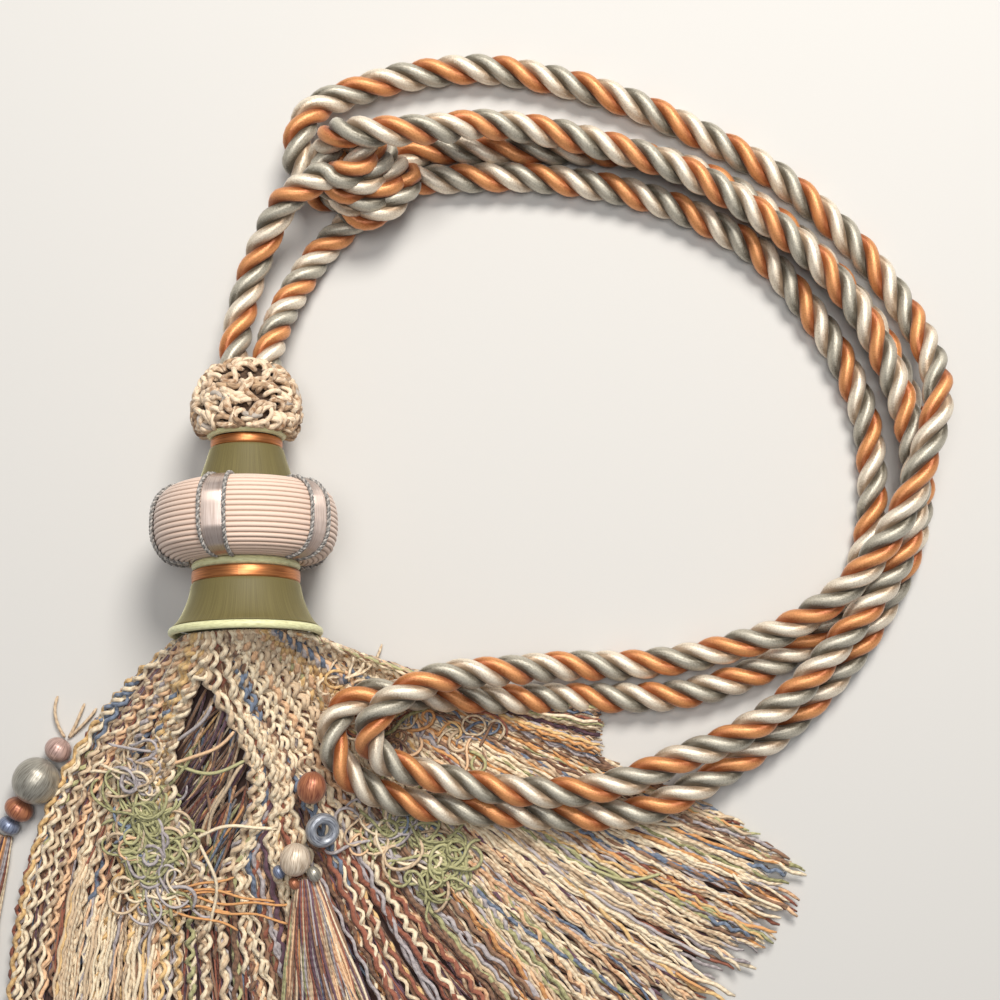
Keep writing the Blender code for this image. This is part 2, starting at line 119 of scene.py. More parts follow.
ROPE_DIAMETER = 9.5
ROPE_LAY = 24.6                # length of one turn of the strands
LEG_LAY = 18.5                 # and where the two legs are pulled tight
LEG_LENGTH = 62
LEG_EASE = 40                  # the length over which the one lay passes into the other
STRAND_STEPS = 12
STRAND_OUT = 0.266             # how far a strand lies from the rope's middle, as a share of its diameter
STRAND_RADIUS = 0.234          # and how thick it is
ROPE_SPACING = 1.45
LEG_LEFT = [
    (-4.6, 43, 20), (-5.2, 49.8, 18.8), (-4.4, 60, 15), (-2, 72, 13), (2, 83, 14.5), (8, 93.8, 19.5),
    (12.4, 98.6, 22.8),
]
TURN_EASE = [
    # length along the rope, and turns its strands have gained there over an even lay
    (0, 0.1), (60, -0.7), (80, -0.75), (320, 0.45), (400, 0.5), (560, 0.25), (600, 0.1), (700, 0),
    (780, 0.1), (920, -0.15), (1000, -0.05), (1040, 0.15), (1160, 0.25), (1240, 0.3), (1320, 0.55),
    (1400, 0.85), (1480, 1), (1560, 1.3), (1600, 1.35), (1640, 1.6), (1720, 1.4), (1840, 1.15),
    (1920, 0.95), (1960, 1.2), (2060, 1.15), (2100, 1.3), (2200, 1.05),
]
KNOT_RINGS = [
    # x, y and height of a turn's middle, its radius, its share along the knot's axis, its lean
    (25.9, 111.5, 24.0, 7.9, 0.92, 2.6),
    (29.3, 108.8, 19.2, 8.3, 0.86, 3.4),
    (33.1, 106.2, 14.6, 9.0, 0.76, 4.2),
    (37.6, 103.0, 10.6, 10.2, 0.60, 5.0),
    (40.0, 101.5, 8.0, 10.2, 0.60, 3.0),
]
KNOT_START_DEG = -112          # where the leg joins the first turn, seen from above
KNOT_TURNS = 3.42
KNOT_STEPS = 14                # points over each turn
KNOT_RETURN = [
    (33, 107, 5), (27.5, 102.5, 5), (22.3, 101.4, 5.2), (17.6, 103.6, 6.8), (14.6, 107.2, 9.4),
    (13.2, 110.6, 12.2),
]
OUTER_LOOP = [
    (13, 113, 13.5), (13.2, 116, 14.5), (14.2, 120.4, 14.8), (16.8, 125.6, 14), (21.4, 129.7, 11.5),
    (27.2, 132.6, 9.2), (34.5, 135.8, 7.4), (46, 139.4, 5.6), (69, 142, 5), (94, 138, 5), (119, 130, 5),
    (150, 115, 5), (168, 103, 5), (187, 85, 5), (200, 66, 8.5), (206, 50, 16), (206, 36, 23), (202, 22, 24.5),
    (197, 8, 24.5), (190, -5, 23), (179, -19, 19.5), (163, -31, 13), (147, -37, 8.5), (131, -41, 6),
    (114, -43, 5.5), (95, -43, 9.5), (76, -44, 18.5), (60, -45, 25), (48, -49, 29.5), (39, -56, 29.8),
    (36.5, -63.5, 27), (42, -70.5, 23), (54, -75, 19), (72, -79, 17), (94, -80.5, 16), (112, -77.5, 15.5),
    (128, -71, 15), (146, -64, 14), (162, -53, 14), (174, -40, 14.5), (186, -25, 14.8), (195, -12, 14.8),
    (200, 3, 14.8), (201, 20, 14.8), (197, 38, 14.8), (191, 53, 14.8), (183, 67, 14.8), (170, 82, 14.8),
    (152, 96, 14.8), (131, 108, 14.8), (106, 116, 15.2), (84, 120.5, 16.5), (68, 120.8, 20.5),
    (61, 118.9, 24.5), (54, 117.4, 28.2), (47, 116.3, 31), (40, 115.6, 32.5), (33, 115.6, 32.2),
]
KNOT_DIVE = [
    (28, 116.1, 29.4), (24.9, 116, 25), (23.6, 115, 19.5), (24, 113, 14.5), (27.5, 110.8, 11),
    (33.5, 109, 8.4), (40, 107.8, 6.6), (46.5, 107.2, 5.6),
]
INNER_LOOP = [
    (52.4, 107.3, 5.3), (60, 107.6, 5), (70, 108, 5), (84, 108, 5), (102, 106, 5), (120, 102, 5),
    (138, 95, 5), (156, 84, 5), (170, 68, 5), (181, 51, 5), (188, 33, 5), (190, 15, 5), (189, -2, 5),
    (184, -18, 5), (175, -31, 5), (162, -41, 5), (146, -48, 5), (130, -52, 5), (113, -53, 5), (95, -53, 5.5),
    (77, -53, 10), (61, -52, 14), (47, -51, 18), (35, -51, 21.8), (26.5, -57, 22.8), (25.5, -66, 22.3),
    (30, -74.5, 20), (38.5, -80.5, 17), (49, -84, 14.5), (60, -86, 12.5), (76, -87, 11), (96, -88.5, 9.5),
    (118, -87, 9.5), (135, -79.5, 9.5), (150, -71, 6.5), (165, -60, 5), (181, -43, 5), (193, -25, 5),
    (201, -8, 5), (204.5, 9, 5), (204, 26, 5), (200, 42, 5), (194, 56, 5), (185.5, 69, 5), (172, 84.5, 5),
    (153.5, 100, 5), (135, 110, 5), (117, 115, 5), (99, 116.5, 5), (81, 116.6, 5), (65, 116.6, 5),
    (54, 116.8, 5),
]
KNOT_UNDER = [(46.5, 114.5, 4.8), (39.8, 107, 4.8), (33.6, 99.2, 4.8)]
LEG_RIGHT = [
    (27.2, 92.5, 5), (19.5, 84.5, 5), (14, 76, 7), (9.5, 67, 10.5), (6.7, 59, 14.5), (4.9, 50.4, 18.2),
    (4.4, 43, 20),
]


def run_of(line):
    """The distance along a line at each of its points."""
    return np.concatenate([[0], np.cumsum(np.linalg.norm(np.diff(line, axis=0), axis=1))])


def even_points(line, count):
    """A line in evenly spaced points, and their distances along it."""
    along = run_of(line)
    places = np.linspace(0, along[-1], count)
    return np.column_stack([np.interp(places, along, column) for column in line.T]), places


def at_rows(places, table):
    """Each column of a table, read at places between its rows."""
    return [np.interp(places, range(len(table)), column) for column in table.T]


def knot_turns():
    """The wound part of the knot: each turn lies lower and further out than the last."""
    front = np.array([1, -1]) / math.sqrt(2)
    across = np.array([1, 1]) / math.sqrt(2)
    points = []
    for step in range(int(KNOT_TURNS * KNOT_STEPS) + 1):
        turn = step / KNOT_STEPS
        angle = math.radians(KNOT_START_DEG) + math.tau * turn
        x, y, z, radius, share, lean = at_rows(turn, np.array(KNOT_RINGS))
        spoke = np.array([math.cos(angle), math.sin(angle)])
        plan = front * (spoke @ front) * radius * share + across * (spoke @ across) * radius
        points.append((x + plan[0], y + plan[1], z + lean * (spoke @ front)))
    return points


def smooth_line(points, spacing):
    """Evenly spaced points, in mm, on a Catmull-Rom curve through a route's own points."""
    knots = np.array(points, float)
    knots = np.vstack([knots[0] * 2 - knots[1], knots, knots[-1] * 2 - knots[-2]])
    t = np.linspace(0, 1, 16, endpoint=False)[:, None]
    parts = []
    for i in range(1, len(knots) - 2):
        before, start, end, after = knots[i - 1:i + 3]
        parts.append(0.5 * (2 * start + (end - before) * t
                            + (2 * before - 5 * start + 4 * end - after) * t ** 2
                            + (3 * start - before - 3 * end + after) * t ** 3))
    dense = np.vstack(parts + [knots[-2:-1]])
    return even_points(dense, max(4, round(run_of(dense)[-1] / spacing)) + 1)


def ways_along(line):
    """The direction of a line at each of its points."""
    ways = np.gradient(line, axis=0)
    return ways / np.linalg.norm(ways, axis=1)[:, None]


def carried_frames(line):
    """Two directions across a line at each of its points, carried along it without twist."""
    ways = ways_along(line)
    side = np.cross(ways[0], (0, 0, 1))
    if side @ side < 0.01:
        side = np.cross(ways[0], (1, 0, 0))
    sides = np.empty_like(line)
    for i, way in enumerate(ways):
        side = side - way * (side @ way)
        side = side / math.sqrt(side @ side)
        sides[i] = side
    return sides, np.cross(ways, sides)


def spokes(side, up, angle):
    """Directions across a line at an angle for each of its points."""
    return side * np.cos(angle)[:, None] + up * np.sin(angle)[:, None]


def store(mesh, name, directions):
    """Keeps one direction or place for each of a mesh's points, for its finish to read."""
    mesh.attributes.new(name, "FLOAT_VECTOR", "POINT").data.foreach_set("vector", directions.ravel())


def add_yarns(name, yarns, ring_steps, finishes):
    """Joins round yarns into one mesh. Each is a line in mm, a radius, a finish's number and a tone.

    A tone is one number, or one for each point of each of the yarn's rings.
    """
    ring = np.arange(ring_steps) / ring_steps * math.tau
    verts, faces, picks, threads, tones, ways = [], [], [], [], [], []
    first = 0
    for line, radius, finish, tone in yarns:
        count = len(line)
        side, up = carried_frames(line)
        swell = np.full(count, float(radius))
        swell[0] = swell[-1] = radius * 0.55
        rim = side[:, None, :] * np.cos(ring)[None, :, None] + up[:, None, :] * np.sin(ring)[None, :, None]
        verts.append((line[:, None, :] + rim * swell[:, None, None]).reshape(-1, 3))
        ways.append(np.repeat(np.cross(side, up)[:, None, :], ring_steps, 1).reshape(-1, 3))
        threads.append(np.stack(np.broadcast_arrays(np.cos(ring) * radius, np.sin(ring) * radius,
                                                    run_of(line)[:, None]), axis=-1).reshape(-1, 3))
        tones.append(np.broadcast_to(tone, (count, ring_steps)).ravel())
        row = first + np.arange(count - 1)[:, None] * ring_steps
        a = row + np.arange(ring_steps)
        b = row + (np.arange(ring_steps) + 1) % ring_steps
        faces.extend(np.stack([a, b, b + ring_steps, a + ring_steps], axis=-1).reshape(-1, 4).tolist())
        start = list(range(first, first + ring_steps))
        faces.append(start[::-1])
        faces.append([k + (count - 1) * ring_steps for k in start])
        picks.extend([finish] * ((count - 1) * ring_steps + 2))
        first += count * ring_steps
    mesh = bpy.data.meshes.new(name)
    mesh.from_pydata((np.vstack(verts) * MM).tolist(), [], faces)
    mesh.polygons.foreach_set("material_index", picks)
    mesh.shade_smooth()
    store(mesh, "thread", np.vstack(threads))
    store(mesh, "way", np.vstack(ways))
    mesh.attributes.new("tone", "FLOAT", "POINT").data.foreach_set("value", np.concatenate(tones))
    for finish in finishes:
        mesh.materials.append(finish)
    return put(name, mesh)


def stored(tree, name, output="Vector"):
    """What a mesh keeps under a name."""
    node = tree.nodes.new("ShaderNodeAttribute")
    node.attribute_name = name
    return node.outputs[output]


def reckon(tree, operation, *terms):
    """A sum over numbers and the results of other nodes."""
    node = tree.nodes.new("ShaderNodeMath")
    node.operation = operation
    for place, term in zip(node.inputs, terms):
        if isinstance(term, float):
            place.default_value = term
        else:
            tree.links.new(term, place)
    return node.outputs["Value"]


def stretched_noise(tree, attribute, scales, detail):
    """Noise in a mesh's own directions, stretched by the three scales (per mm)."""
    nodes, links = tree.nodes, tree.links
    stretch = nodes.new("ShaderNodeVectorMath")
    stretch.operation = "MULTIPLY"
    stretch.inputs[1].default_value = scales
    links.new(stored(tree, attribute), stretch.inputs[0])
    noise = nodes.new("ShaderNodeTexNoise")
    noise.inputs["Scale"].default_value = 1.0
    noise.inputs["Detail"].default_value = detail
    links.new(stretch.outputs["Vector"], noise.inputs["Vector"])
    return noise.outputs["Fac"]


def dye(tree, shader, source, stops):
    """Colours a finish by a value: stops of (place, colour)."""
    ramp = tree.nodes.new("ShaderNodeValToRGB")
    while len(ramp.color_ramp.elements) < len(stops):
        ramp.color_ramp.elements.new(0.5)
    for element, (place, colour) in zip(ramp.color_ramp.elements, stops):
        element.position = place
        element.color = (*colour, 1)
    tree.links.new(source, ramp.inputs["Fac"])
    tree.links.new(ramp.outputs["Color"], shader.inputs["Base Color"])


def add_bump(tree, shader, height, strength, distance_mm):
    bump = tree.nodes.new("ShaderNodeBump")
    bump.inputs["Strength"].default_value = strength
    bump.inputs["Distance"].default_value = distance_mm * MM
    tree.links.new(height, bump.inputs["Height"])
    tree.links.new(bump.outputs["Normal"], shader.inputs["Normal"])


def give_shine(tree, shader, shine):
    """Sets a finish's own numbers, by the names of its sockets. A stretched shine follows "way"."""
    for socket, amount in shine.items():
        shader.inputs[socket].default_value = amount
    if "Anisotropic" in shine:
        tree.links.new(stored(tree, "way"), shader.inputs["Tangent"])


def satin_strand(name, bright, shade):
    """Cord wound closely in satin thread: a long soft shine along it, fine threads round it,
    and painted shade on its flanks, where it meets the other strands.
    """
    made, tree, shader = plain_finish(name, bright, 0.46)
    fibres = stretched_noise(tree, "thread", (2.2, 2.2, 3.0), 4.0)
    streaks = stretched_noise(tree, "thread", (1.6, 1.6, 0.16), 2.0)
    # The rope's tone is how far a point faces out of the rope: where it is low, on the flanks, this paints
    # shade, with fibre noise over it.
    fibres_and_flank_shade = reckon(tree, "MULTIPLY_ADD", fibres, 0.8, stored(tree, "tone", "Fac"))
    mixed = reckon(tree, "MULTIPLY_ADD", streaks, 0.5, fibres_and_flank_shade)
    span = tree.nodes.new("ShaderNodeMapRange")
    span.inputs["From Min"].default_value = 1.0
    span.inputs["From Max"].default_value = 1.72
    tree.links.new(mixed, span.inputs["Value"])
    dye(tree, shader, span.outputs["Result"], [(0.0, shade), (1.0, bright)])
    add_bump(tree, shader, fibres, 0.55, 0.2)
    give_shine(tree, shader, {"Anisotropic": 0.8, "Metallic": 0.4, "Specular IOR Level": 0.75,
                              "Sheen Weight": 0.25, "Sheen Roughness": 0.35})
    return made


def rope_strands(line, places):
    """Three strands wound round the rope's line. Each keeps, as its tone, how far each point
    faces out of the rope, which its finish turns into painted shade on the flanks.
    """
    from_end = np.minimum(places, places[-1] - places)
    lay = np.interp(from_end, [LEG_LENGTH, LEG_LENGTH + LEG_EASE], [LEG_LAY, ROPE_LAY])
    turned = np.concatenate([[0], np.cumsum(np.diff(places) / lay[1:])]) * math.tau
    eased = np.array(TURN_EASE, float)
    turned += np.interp(places, eased[:, 0], eased[:, 1]) * math.tau
    side, up = carried_frames(line)
    strands = []
    for number in range(3):
        angle = turned + number * math.tau / 3
        out = spokes(side, up, angle)
        strand = line + out * ROPE_DIAMETER * STRAND_OUT
        own_side, own_up = carried_frames(strand)
        ring = np.arange(STRAND_STEPS) / STRAND_STEPS * math.tau
        # How far each point faces out of the rope, kept as its tone: the finish paints shade where it is low.
        crest = ((own_side * out).sum(1)[:, None] * np.cos(ring)[None, :]
                 + (own_up * out).sum(1)[:, None] * np.sin(ring)[None, :])
        strands.append((strand, ROPE_DIAMETER * STRAND_RADIUS, number, crest))
    return strands


ROPE_FINISHES = [
    satin_strand("rope_orange", (0.84, 0.38, 0.145), (0.38, 0.11, 0.03)),
    satin_strand("rope_grey", (0.6, 0.56, 0.46), (0.14, 0.12, 0.085)),
    satin_strand("rope_cream", (0.97, 0.87, 0.71), (0.4, 0.28, 0.18)),
]
rope_line, rope_places = smooth_line(LEG_LEFT + knot_turns() + KNOT_RETURN + OUTER_LOOP + KNOT_DIVE
                                     + INNER_LOOP + KNOT_UNDER + LEG_RIGHT, ROPE_SPACING)
rope = add_yarns("rope", rope_strands(rope_line, rope_places), STRAND_STEPS, ROPE_FINISHES)
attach(rope, "root")
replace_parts(rope, "rope_leg_left", "rope_knot", "rope_outer_loop", "rope_inner_loop", "rope_leg_right")
[tuple(p) for p in rope_line * MM]


# ---- Ruff -----------------------------------------------------------------
# A ball of knotted boucle yarn bound round the top of the head, where the two
# rope legs come out. Short loops stand out of a dark core, which is painted
# shade in the gaps between them.

HEAD_DIP_DEG = 9.0             # the ruff's end of the head lies the lower
HEAD_YAW_DEG = 1.4
BULGE_HEIGHT = 26.6            # height of the head's axis at the bulge
TURNED_STEPS = 128
FLOOR_CLEARANCE = 0.02         # keeps what rests on the floor from lying in it
GOLDEN_TURN = 2.39996          # spreads the loops evenly round the ruff, in radians
RUFF_OUTLINE = [
    (0, 48.6), (6, 48.3), (10.2, 46.6), (13.2, 43), (15, 38), (15.5, 33), (14.6, 28.8), (13.4, 27),
]
RUFF_LOOPS = 340
RUFF_YARN_RADIUS = 0.86
dice = np.random.default_rng(7)


def head_place(side, up, station):
    """Places on the head, in mm, from lengths to the right, above the axis and along it."""
    dip = math.radians(HEAD_DIP_DEG)
    yaw = math.radians(HEAD_YAW_DEG)
    ahead = station * math.cos(dip) + up * math.sin(dip)
    return np.stack([side * math.cos(yaw) - ahead * math.sin(yaw),
                     side * math.sin(yaw) + ahead * math.cos(yaw),
                     BULGE_HEIGHT - station * math.sin(dip) + up * math.cos(dip)], axis=-1)


def along_outline(outline, spacing):
    """Evenly spaced (radius, station) points on an outline, and their distance along it."""
    outline = np.array(outline, float)
    return even_points(outline, max(2, round(run_of(outline)[-1] / spacing)) + 1)


def keep_above(places, height):
    """Lifts whatever lies lower to a height."""
    places[..., 2] = np.maximum(places[..., 2], height)


def add_skin(name, grid, finish, wrap, way=None):
    """A skin through a grid of places in mm. Its "wrap" holds mm across, mm along and a ridge's height."""
    rows, row = grid.shape[:2]
    a = np.arange(rows - 1)[:, None] * row + np.arange(row - 1)
    mesh = bpy.data.meshes.new(name)
    mesh.from_pydata((grid.reshape(-1, 3) * MM).tolist(), [],
                     np.stack([a, a + 1, a + row + 1, a + row], axis=-1).reshape(-1, 4).tolist())
    mesh.shade_smooth()
    store(mesh, "wrap", np.stack(np.broadcast_arrays(*wrap), axis=-1))
    if way is not None:
        store(mesh, "way", way)
    mesh.materials.append(finish)
    return put(name, mesh)


def add_turned(name, points, finish, ridge=0.0):
    """A turned skin on the head's axis, from the (radius, station) points of its outline."""
    points = np.array(points, float)
    radius, station = points.T[:, :, None]
    angle = np.arange(TURNED_STEPS + 1) / TURNED_STEPS * math.tau
    places = head_place(radius * np.sin(angle), radius * np.cos(angle), station)
    keep_above(places, FLOOR_CLEARANCE)
    wrap = (angle * radius.max(), run_of(points)[:, None], np.reshape(ridge, (-1, 1)))
    return add_skin(name, places, finish, wrap, np.gradient(places, axis=0))


def in_parts(tree, name):
    """The three parts of what a mesh keeps under a name."""
    parts = tree.nodes.new("ShaderNodeSeparateXYZ")
    tree.links.new(stored(tree, name), parts.inputs["Vector"])
    return [parts.outputs[axis] for axis in "XYZ"]


def yarn_finish(name, light, shade, twist=2.2, roughness=0.8, relief=0.35, plies=0.12):
    """Spun yarn: plies that wind round it, painted lighter on their crowns and with painted shade between
    them, with loose fibres over them.
    """
    made, tree, shader = plain_finish(name, light, roughness)
    x, y, along = in_parts(tree, "thread")
    wound = reckon(tree, "MULTIPLY_ADD", along, math.tau / twist, reckon(tree, "ARCTAN2", y, x))
    fibres = stretched_noise(tree, "thread", (3.0, 3.0, 1.1), 2.0)
    # The ply wave paints light on the crowns of the plies and shade in the grooves between them.
    level = reckon(tree, "MULTIPLY_ADD", reckon(tree, "SINE", wound), plies, fibres)
    toned = reckon(tree, "MULTIPLY_ADD", stored(tree, "tone", "Fac"), 0.7, level)
    dye(tree, shader, toned, [(0.4, shade), (1.0, light)])
    add_bump(tree, shader, level, 0.6, relief)
    give_shine(tree, shader, {"Sheen Weight": 0.2, "Specular IOR Level": 0.35})
    return made


def wound_finish(name, light, shade, roughness, scales, detail, stops, relief, shine):
    """Thread or cord wound on a form: shade in its gaps and light on its crowns."""
    made, tree, shader = plain_finish(name, light, roughness)
    fibres = stretched_noise(tree, "wrap", scales, detail)
    dye(tree, shader, fibres, list(zip(stops, (shade, light))))
    add_bump(tree, shader, fibres, *relief)
    give_shine(tree, shader, shine)
    return made


def painted_gap_shade(name, colour, dark, scales=(0.5, 1.4, 0.0)):
    """Painted shade: a dark finish of bound threads under a pile, which shows only in its gaps."""
    return wound_finish(name, colour, dark, 0.9, scales, 4.0, (0.35, 0.65), (0.6, 0.5), {})


def ruff_loop(number):
    """A short loop of yarn that leaves the core, wanders over the ruff and goes back in."""
    outline, places = along_outline(RUFF_OUTLINE, 0.5)
    down = places[-1] * math.sqrt((number + dice.uniform(0.1, 0.9)) / RUFF_LOOPS)
    turn = number * GOLDEN_TURN
    heading = dice.uniform(0, math.tau)
    bend = dice.choice([-1, 1]) * dice.uniform(0.6, 3.2)
    length = dice.uniform(5, 8)
    steps = 10
    line = []
    for step in range(steps + 1):
        share = step / steps
        radius, station = [np.interp(down, places, outline[:, k]) for k in range(2)]
        lift = -2.2 + 3.0 * math.sin(math.pi * share) ** 0.7
        inward = np.interp(down, [0, 10, 14], [0.0, 0.6, 1.0])
        out = radius + lift * inward
        line.append(head_place(out * math.sin(turn), out * math.cos(turn), station + lift * (1 - inward)))
        way = heading + bend * share
        down = min(max(down + math.sin(way) * length / steps, 0.3), places[-1])
        turn += math.cos(way) * length / steps / max(radius, 3.0)
    return np.array(line)


RUFF_FINISHES = [
    yarn_finish("ruff_cream", (0.9, 0.72, 0.52), (0.34, 0.19, 0.1), relief=0.4),
    yarn_finish("ruff_tan", (0.6, 0.41, 0.25), (0.17, 0.09, 0.05), relief=0.4),
    yarn_finish("ruff_grey", (0.5, 0.44, 0.38), (0.2, 0.15, 0.12), relief=0.5),
]
ruff = add_yarns("ruff_loops", [(ruff_loop(number), RUFF_YARN_RADIUS * dice.uniform(0.8, 1.1),
                                 int(dice.choice(3, p=[0.76, 0.2, 0.04])), dice.random())
                                for number in range(RUFF_LOOPS)], 6, RUFF_FINISHES)
# The core is painted shade: dark brown, so that the gaps between the loops look shaded.
core_outline = [(max(radius - 1.9, 0), station - 0.6)
                for radius, station in along_outline(RUFF_OUTLINE, 1.5)[0]]
ruff_core = add_turned("ruff_core", core_outline + [(11.9, 27.6), (11.9, 28.8), (0, 28.8)],
                       painted_gap_shade("ruff_core_painted_shade", (0.12, 0.07, 0.04), (0.03, 0.015, 0.01)))
for piece in (ruff, ruff_core):
    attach(piece, "root")
    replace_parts(piece, "neck_ruff")


# ---- Lime rings and bell rim ----------------------------------------------
# Pale lime cord in single rolls, its fine turns slantwise, with a soft sheen:
# one roll under the ruff, one under the bulge, and a bolder one that edges the
# bell. Each is glued to the core.

def wound_ring(name, radius, station, half_width, half_height, finish):
    """A roll of cord round the head, oval in section."""
    turn = np.linspace(0, math.tau, 25)
    lobes = [(radius - half_height + half_height * math.cos(a), station + half_width * math.sin(a))
             for a in turn]
    return add_turned(name, lobes, finish)


LIME = wound_finish("lime_cord_roll", (0.78, 0.78, 0.46), (0.56, 0.55, 0.29), 0.5, (0.5, 2.2, 0.0), 3.0,
                    (0.3, 0.6), (0.35, 0.15), {"Sheen Weight": 0.3, "Sheen Tint": (0.95, 0.95, 0.7, 1)})
for name, radius, station, half_width, half_height in (
        ("neck_ring", 11.9, 27.1, 1.4, 1.5), ("waist_ring", 15.9, -12.9, 1.25, 1.4),
        ("bell_rim", 22.5, -32.3, 1.2, 1.0)):
    ring = wound_ring(name + "_cord", radius, station, half_width, half_height, LIME)
    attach(ring, "root")
    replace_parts(ring, name)


# ---- Copper satin bands ---------------------------------------------------
# A narrow copper ribbon round the neck and a wider one round the waist, each
# drawn tight over the turned core so that it shines along its crown.

def ribbon_satin(name, bright, shade, roughness, metal, stretch):
    """Ribbon satin: its floats shine in a stripe in the direction stored as "way"."""
    return wound_finish(name, bright, shade, roughness, (0.12, 3.4, 0.0), 3.0, (0.25, 0.6), (0.25, 0.06),
                        {"Anisotropic": stretch, "Metallic": metal, "Specular IOR Level": 0.8,
                         "Coat Weight": 0.3, "Coat Roughness": 0.3})


COPPER = ribbon_satin("copper_ribbon", (0.66, 0.26, 0.085), (0.28, 0.08, 0.025), 0.44, 0.85, 0.3)
NECK_BAND = [(10.1, 25.5), (10.55, 25.2), (10.7, 24.1), (10.55, 22.9), (10.1, 22.6)]
WAIST_BAND = [(15.2, -14.2), (15.8, -14.5), (15.95, -16.1), (15.8, -17.7), (15.2, -18)]
for name, outline in (("neck_band", NECK_BAND), ("waist_band", WAIST_BAND)):
    band = add_turned(name + "_satin", along_outline(outline, 0.35)[0], COPPER)
    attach(band, "root")
    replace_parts(band, name)


# ---- Olive cone and bell --------------------------------------------------
# The turned cone over the bulge and the bell under it, wrapped lengthways in
# fine olive thread laid side by side. The wrap pales where it is seen along.

OLIVE = wound_finish("olive_thread_wrap", (0.165, 0.137, 0.047), (0.11, 0.089, 0.03), 0.62,
                     (3.2, 0.05, 0.0), 2.0, (0.25, 0.7), (0.3, 0.12),
                     {"Sheen Weight": 0.55, "Sheen Roughness": 0.32, "Sheen Tint": (0.9, 0.88, 0.55, 1)})
CONE_OUTLINE = [(10.2, 22.6), (10.9, 22.4), (12, 18.6), (13.2, 14.9), (14.5, 11.2), (14.3, 10.8)]
BELL_FLARE = [(15.5, -17.9), (15.95, -18.4), (16.7, -22), (18, -25.7), (19.6, -28.8), (21.4, -30.9)]
BELL_OUTLINE = [*smooth_line(BELL_FLARE, 0.8)[0].tolist(), (20.6, -31.1), (0, -31)]
for name, outline in (("upper_cone", CONE_OUTLINE), ("lower_bell", BELL_OUTLINE)):
    wrap = add_turned(name + "_wrap", along_outline(outline, 0.5)[0], OLIVE)
    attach(wrap, "root")
    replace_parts(wrap, name)


# ---- Bulge ----------------------------------------------------------------
# The widest part of the head, a turned form bound round and round with cream
# cord, turn against turn. Its underside is a little flat where it rests.

BULGE_OUTLINE = [
    (13.5, 10.9), (18.3, 11.1), (21.2, 10.5), (23.6, 9.2), (25.3, 7.3), (26.3, 4.9), (26.8, 2.2),
    (26.8, -2.4), (26.3, -5.2), (25.3, -7.7), (23.6, -9.6), (21.2, -10.9), (18.3, -11.5), (13.5, -11.3),
]
CORD_PITCH = 1.52
CORD_HEIGHT = 0.5
CORD_STEPS = 9                 # points over each turn of cord


def corded_outline():
    """The bulge's outline with a half-round for each turn of cord."""
    length = along_outline(BULGE_OUTLINE, 1)[1][-1]
    turns = round(length / CORD_PITCH)
    points, places = along_outline(BULGE_OUTLINE, length / (turns * CORD_STEPS))
    ways = ways_along(points)
    out = np.column_stack([-ways[:, 1], ways[:, 0]])
    crown = np.abs(np.sin(math.pi * places / places[-1] * turns)) ** 0.6
    return points + out * ((crown - 0.5) * CORD_HEIGHT)[:, None], crown


def cream_cord(name, light, gap):
    """Smooth cream cord: pale on its crown, and painted shade, brown, in the gap beside the next turn."""
    made, tree, shader = plain_finish(name, light, 0.62)
    fibres = stretched_noise(tree, "wrap", (0.7, 2.5, 0.0), 3.0)
    level = reckon(tree, "MULTIPLY_ADD", fibres, 0.25, in_parts(tree, "wrap")[2])
    mid = tuple((a + b) / 2 for a, b in zip(light, gap))
    # The ridge height in wrap paints shade in the grooves between turns and light on the crowns.
    dye(tree, shader, level, [(0.3, gap), (0.62, mid), (0.95, light)])
    add_bump(tree, shader, fibres, 0.3, 0.12)
    give_shine(tree, shader, {"Sheen Weight": 0.25})
    return made


bulge_points, bulge_ridge = corded_outline()
bulge = add_turned("bulge_cords", bulge_points,
                   cream_cord("bulge_cream_cord", (0.8, 0.61, 0.5), (0.36, 0.22, 0.15)), bulge_ridge)
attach(bulge, "root")
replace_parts(bulge, "bulge")


# ---- Ribbons over the bulge -----------------------------------------------
# Five silver satin ribbons laid from neck to waist over the cords, each held
# by a twisted grey gimp along both its edges.

RIBBON_COUNT = 5
RIBBON_FIRST_DEG = -13.0
RIBBON_HALF_DEG = 6.6
RIBBON_HALF_WIDTH = 3.1
GIMP_DEG = 8.0
GIMP_RADIUS = 0.36
GIMP_LAY = 2.0
GIMP_SPACING = 0.35
RIBBON_OUTLINE = [
    (16.5, 11.3), (18.7, 11.6), (21.7, 11.1), (24.2, 9.6), (26, 7.5), (27.1, 4.9), (27.5, 2.2),
    (27.5, -2.4), (27.1, -5.3), (26, -7.9), (24.2, -10), (21.7, -11.4), (18.7, -12), (16.5, -11.9),
]
SILVER = ribbon_satin("silver_ribbon", (0.78, 0.66, 0.6), (0.54, 0.41, 0.35), 0.5, 0.8, 0.85)
GIMP = [yarn_finish(name, light, shade, twist=1.4, roughness=0.6, relief=0.2, plies=0.3)
        for name, light, shade in (("gimp_grey", (0.27, 0.26, 0.25), (0.09, 0.085, 0.08)),
                                   ("gimp_pale", (0.5, 0.47, 0.44), (0.2, 0.18, 0.16)))]


def ribbon_skin(name, middle_deg):
    """The satin strip itself, a little crowned across."""
    points, places = along_outline(RIBBON_OUTLINE, 0.8)
    across = np.linspace(-1, 1, 9)
    angle = np.radians(middle_deg + across * RIBBON_HALF_DEG)
    radius = points[:, 0][:, None] + 0.12 - 0.3 * across ** 4
    skin = head_place(radius * np.sin(angle), radius * np.cos(angle), points[:, 1][:, None])
    keep_above(skin, FLOOR_CLEARANCE)
    return add_skin(name, skin, SILVER, (places[:, None], across * RIBBON_HALF_WIDTH, 0.0),
                    np.gradient(skin, axis=1))


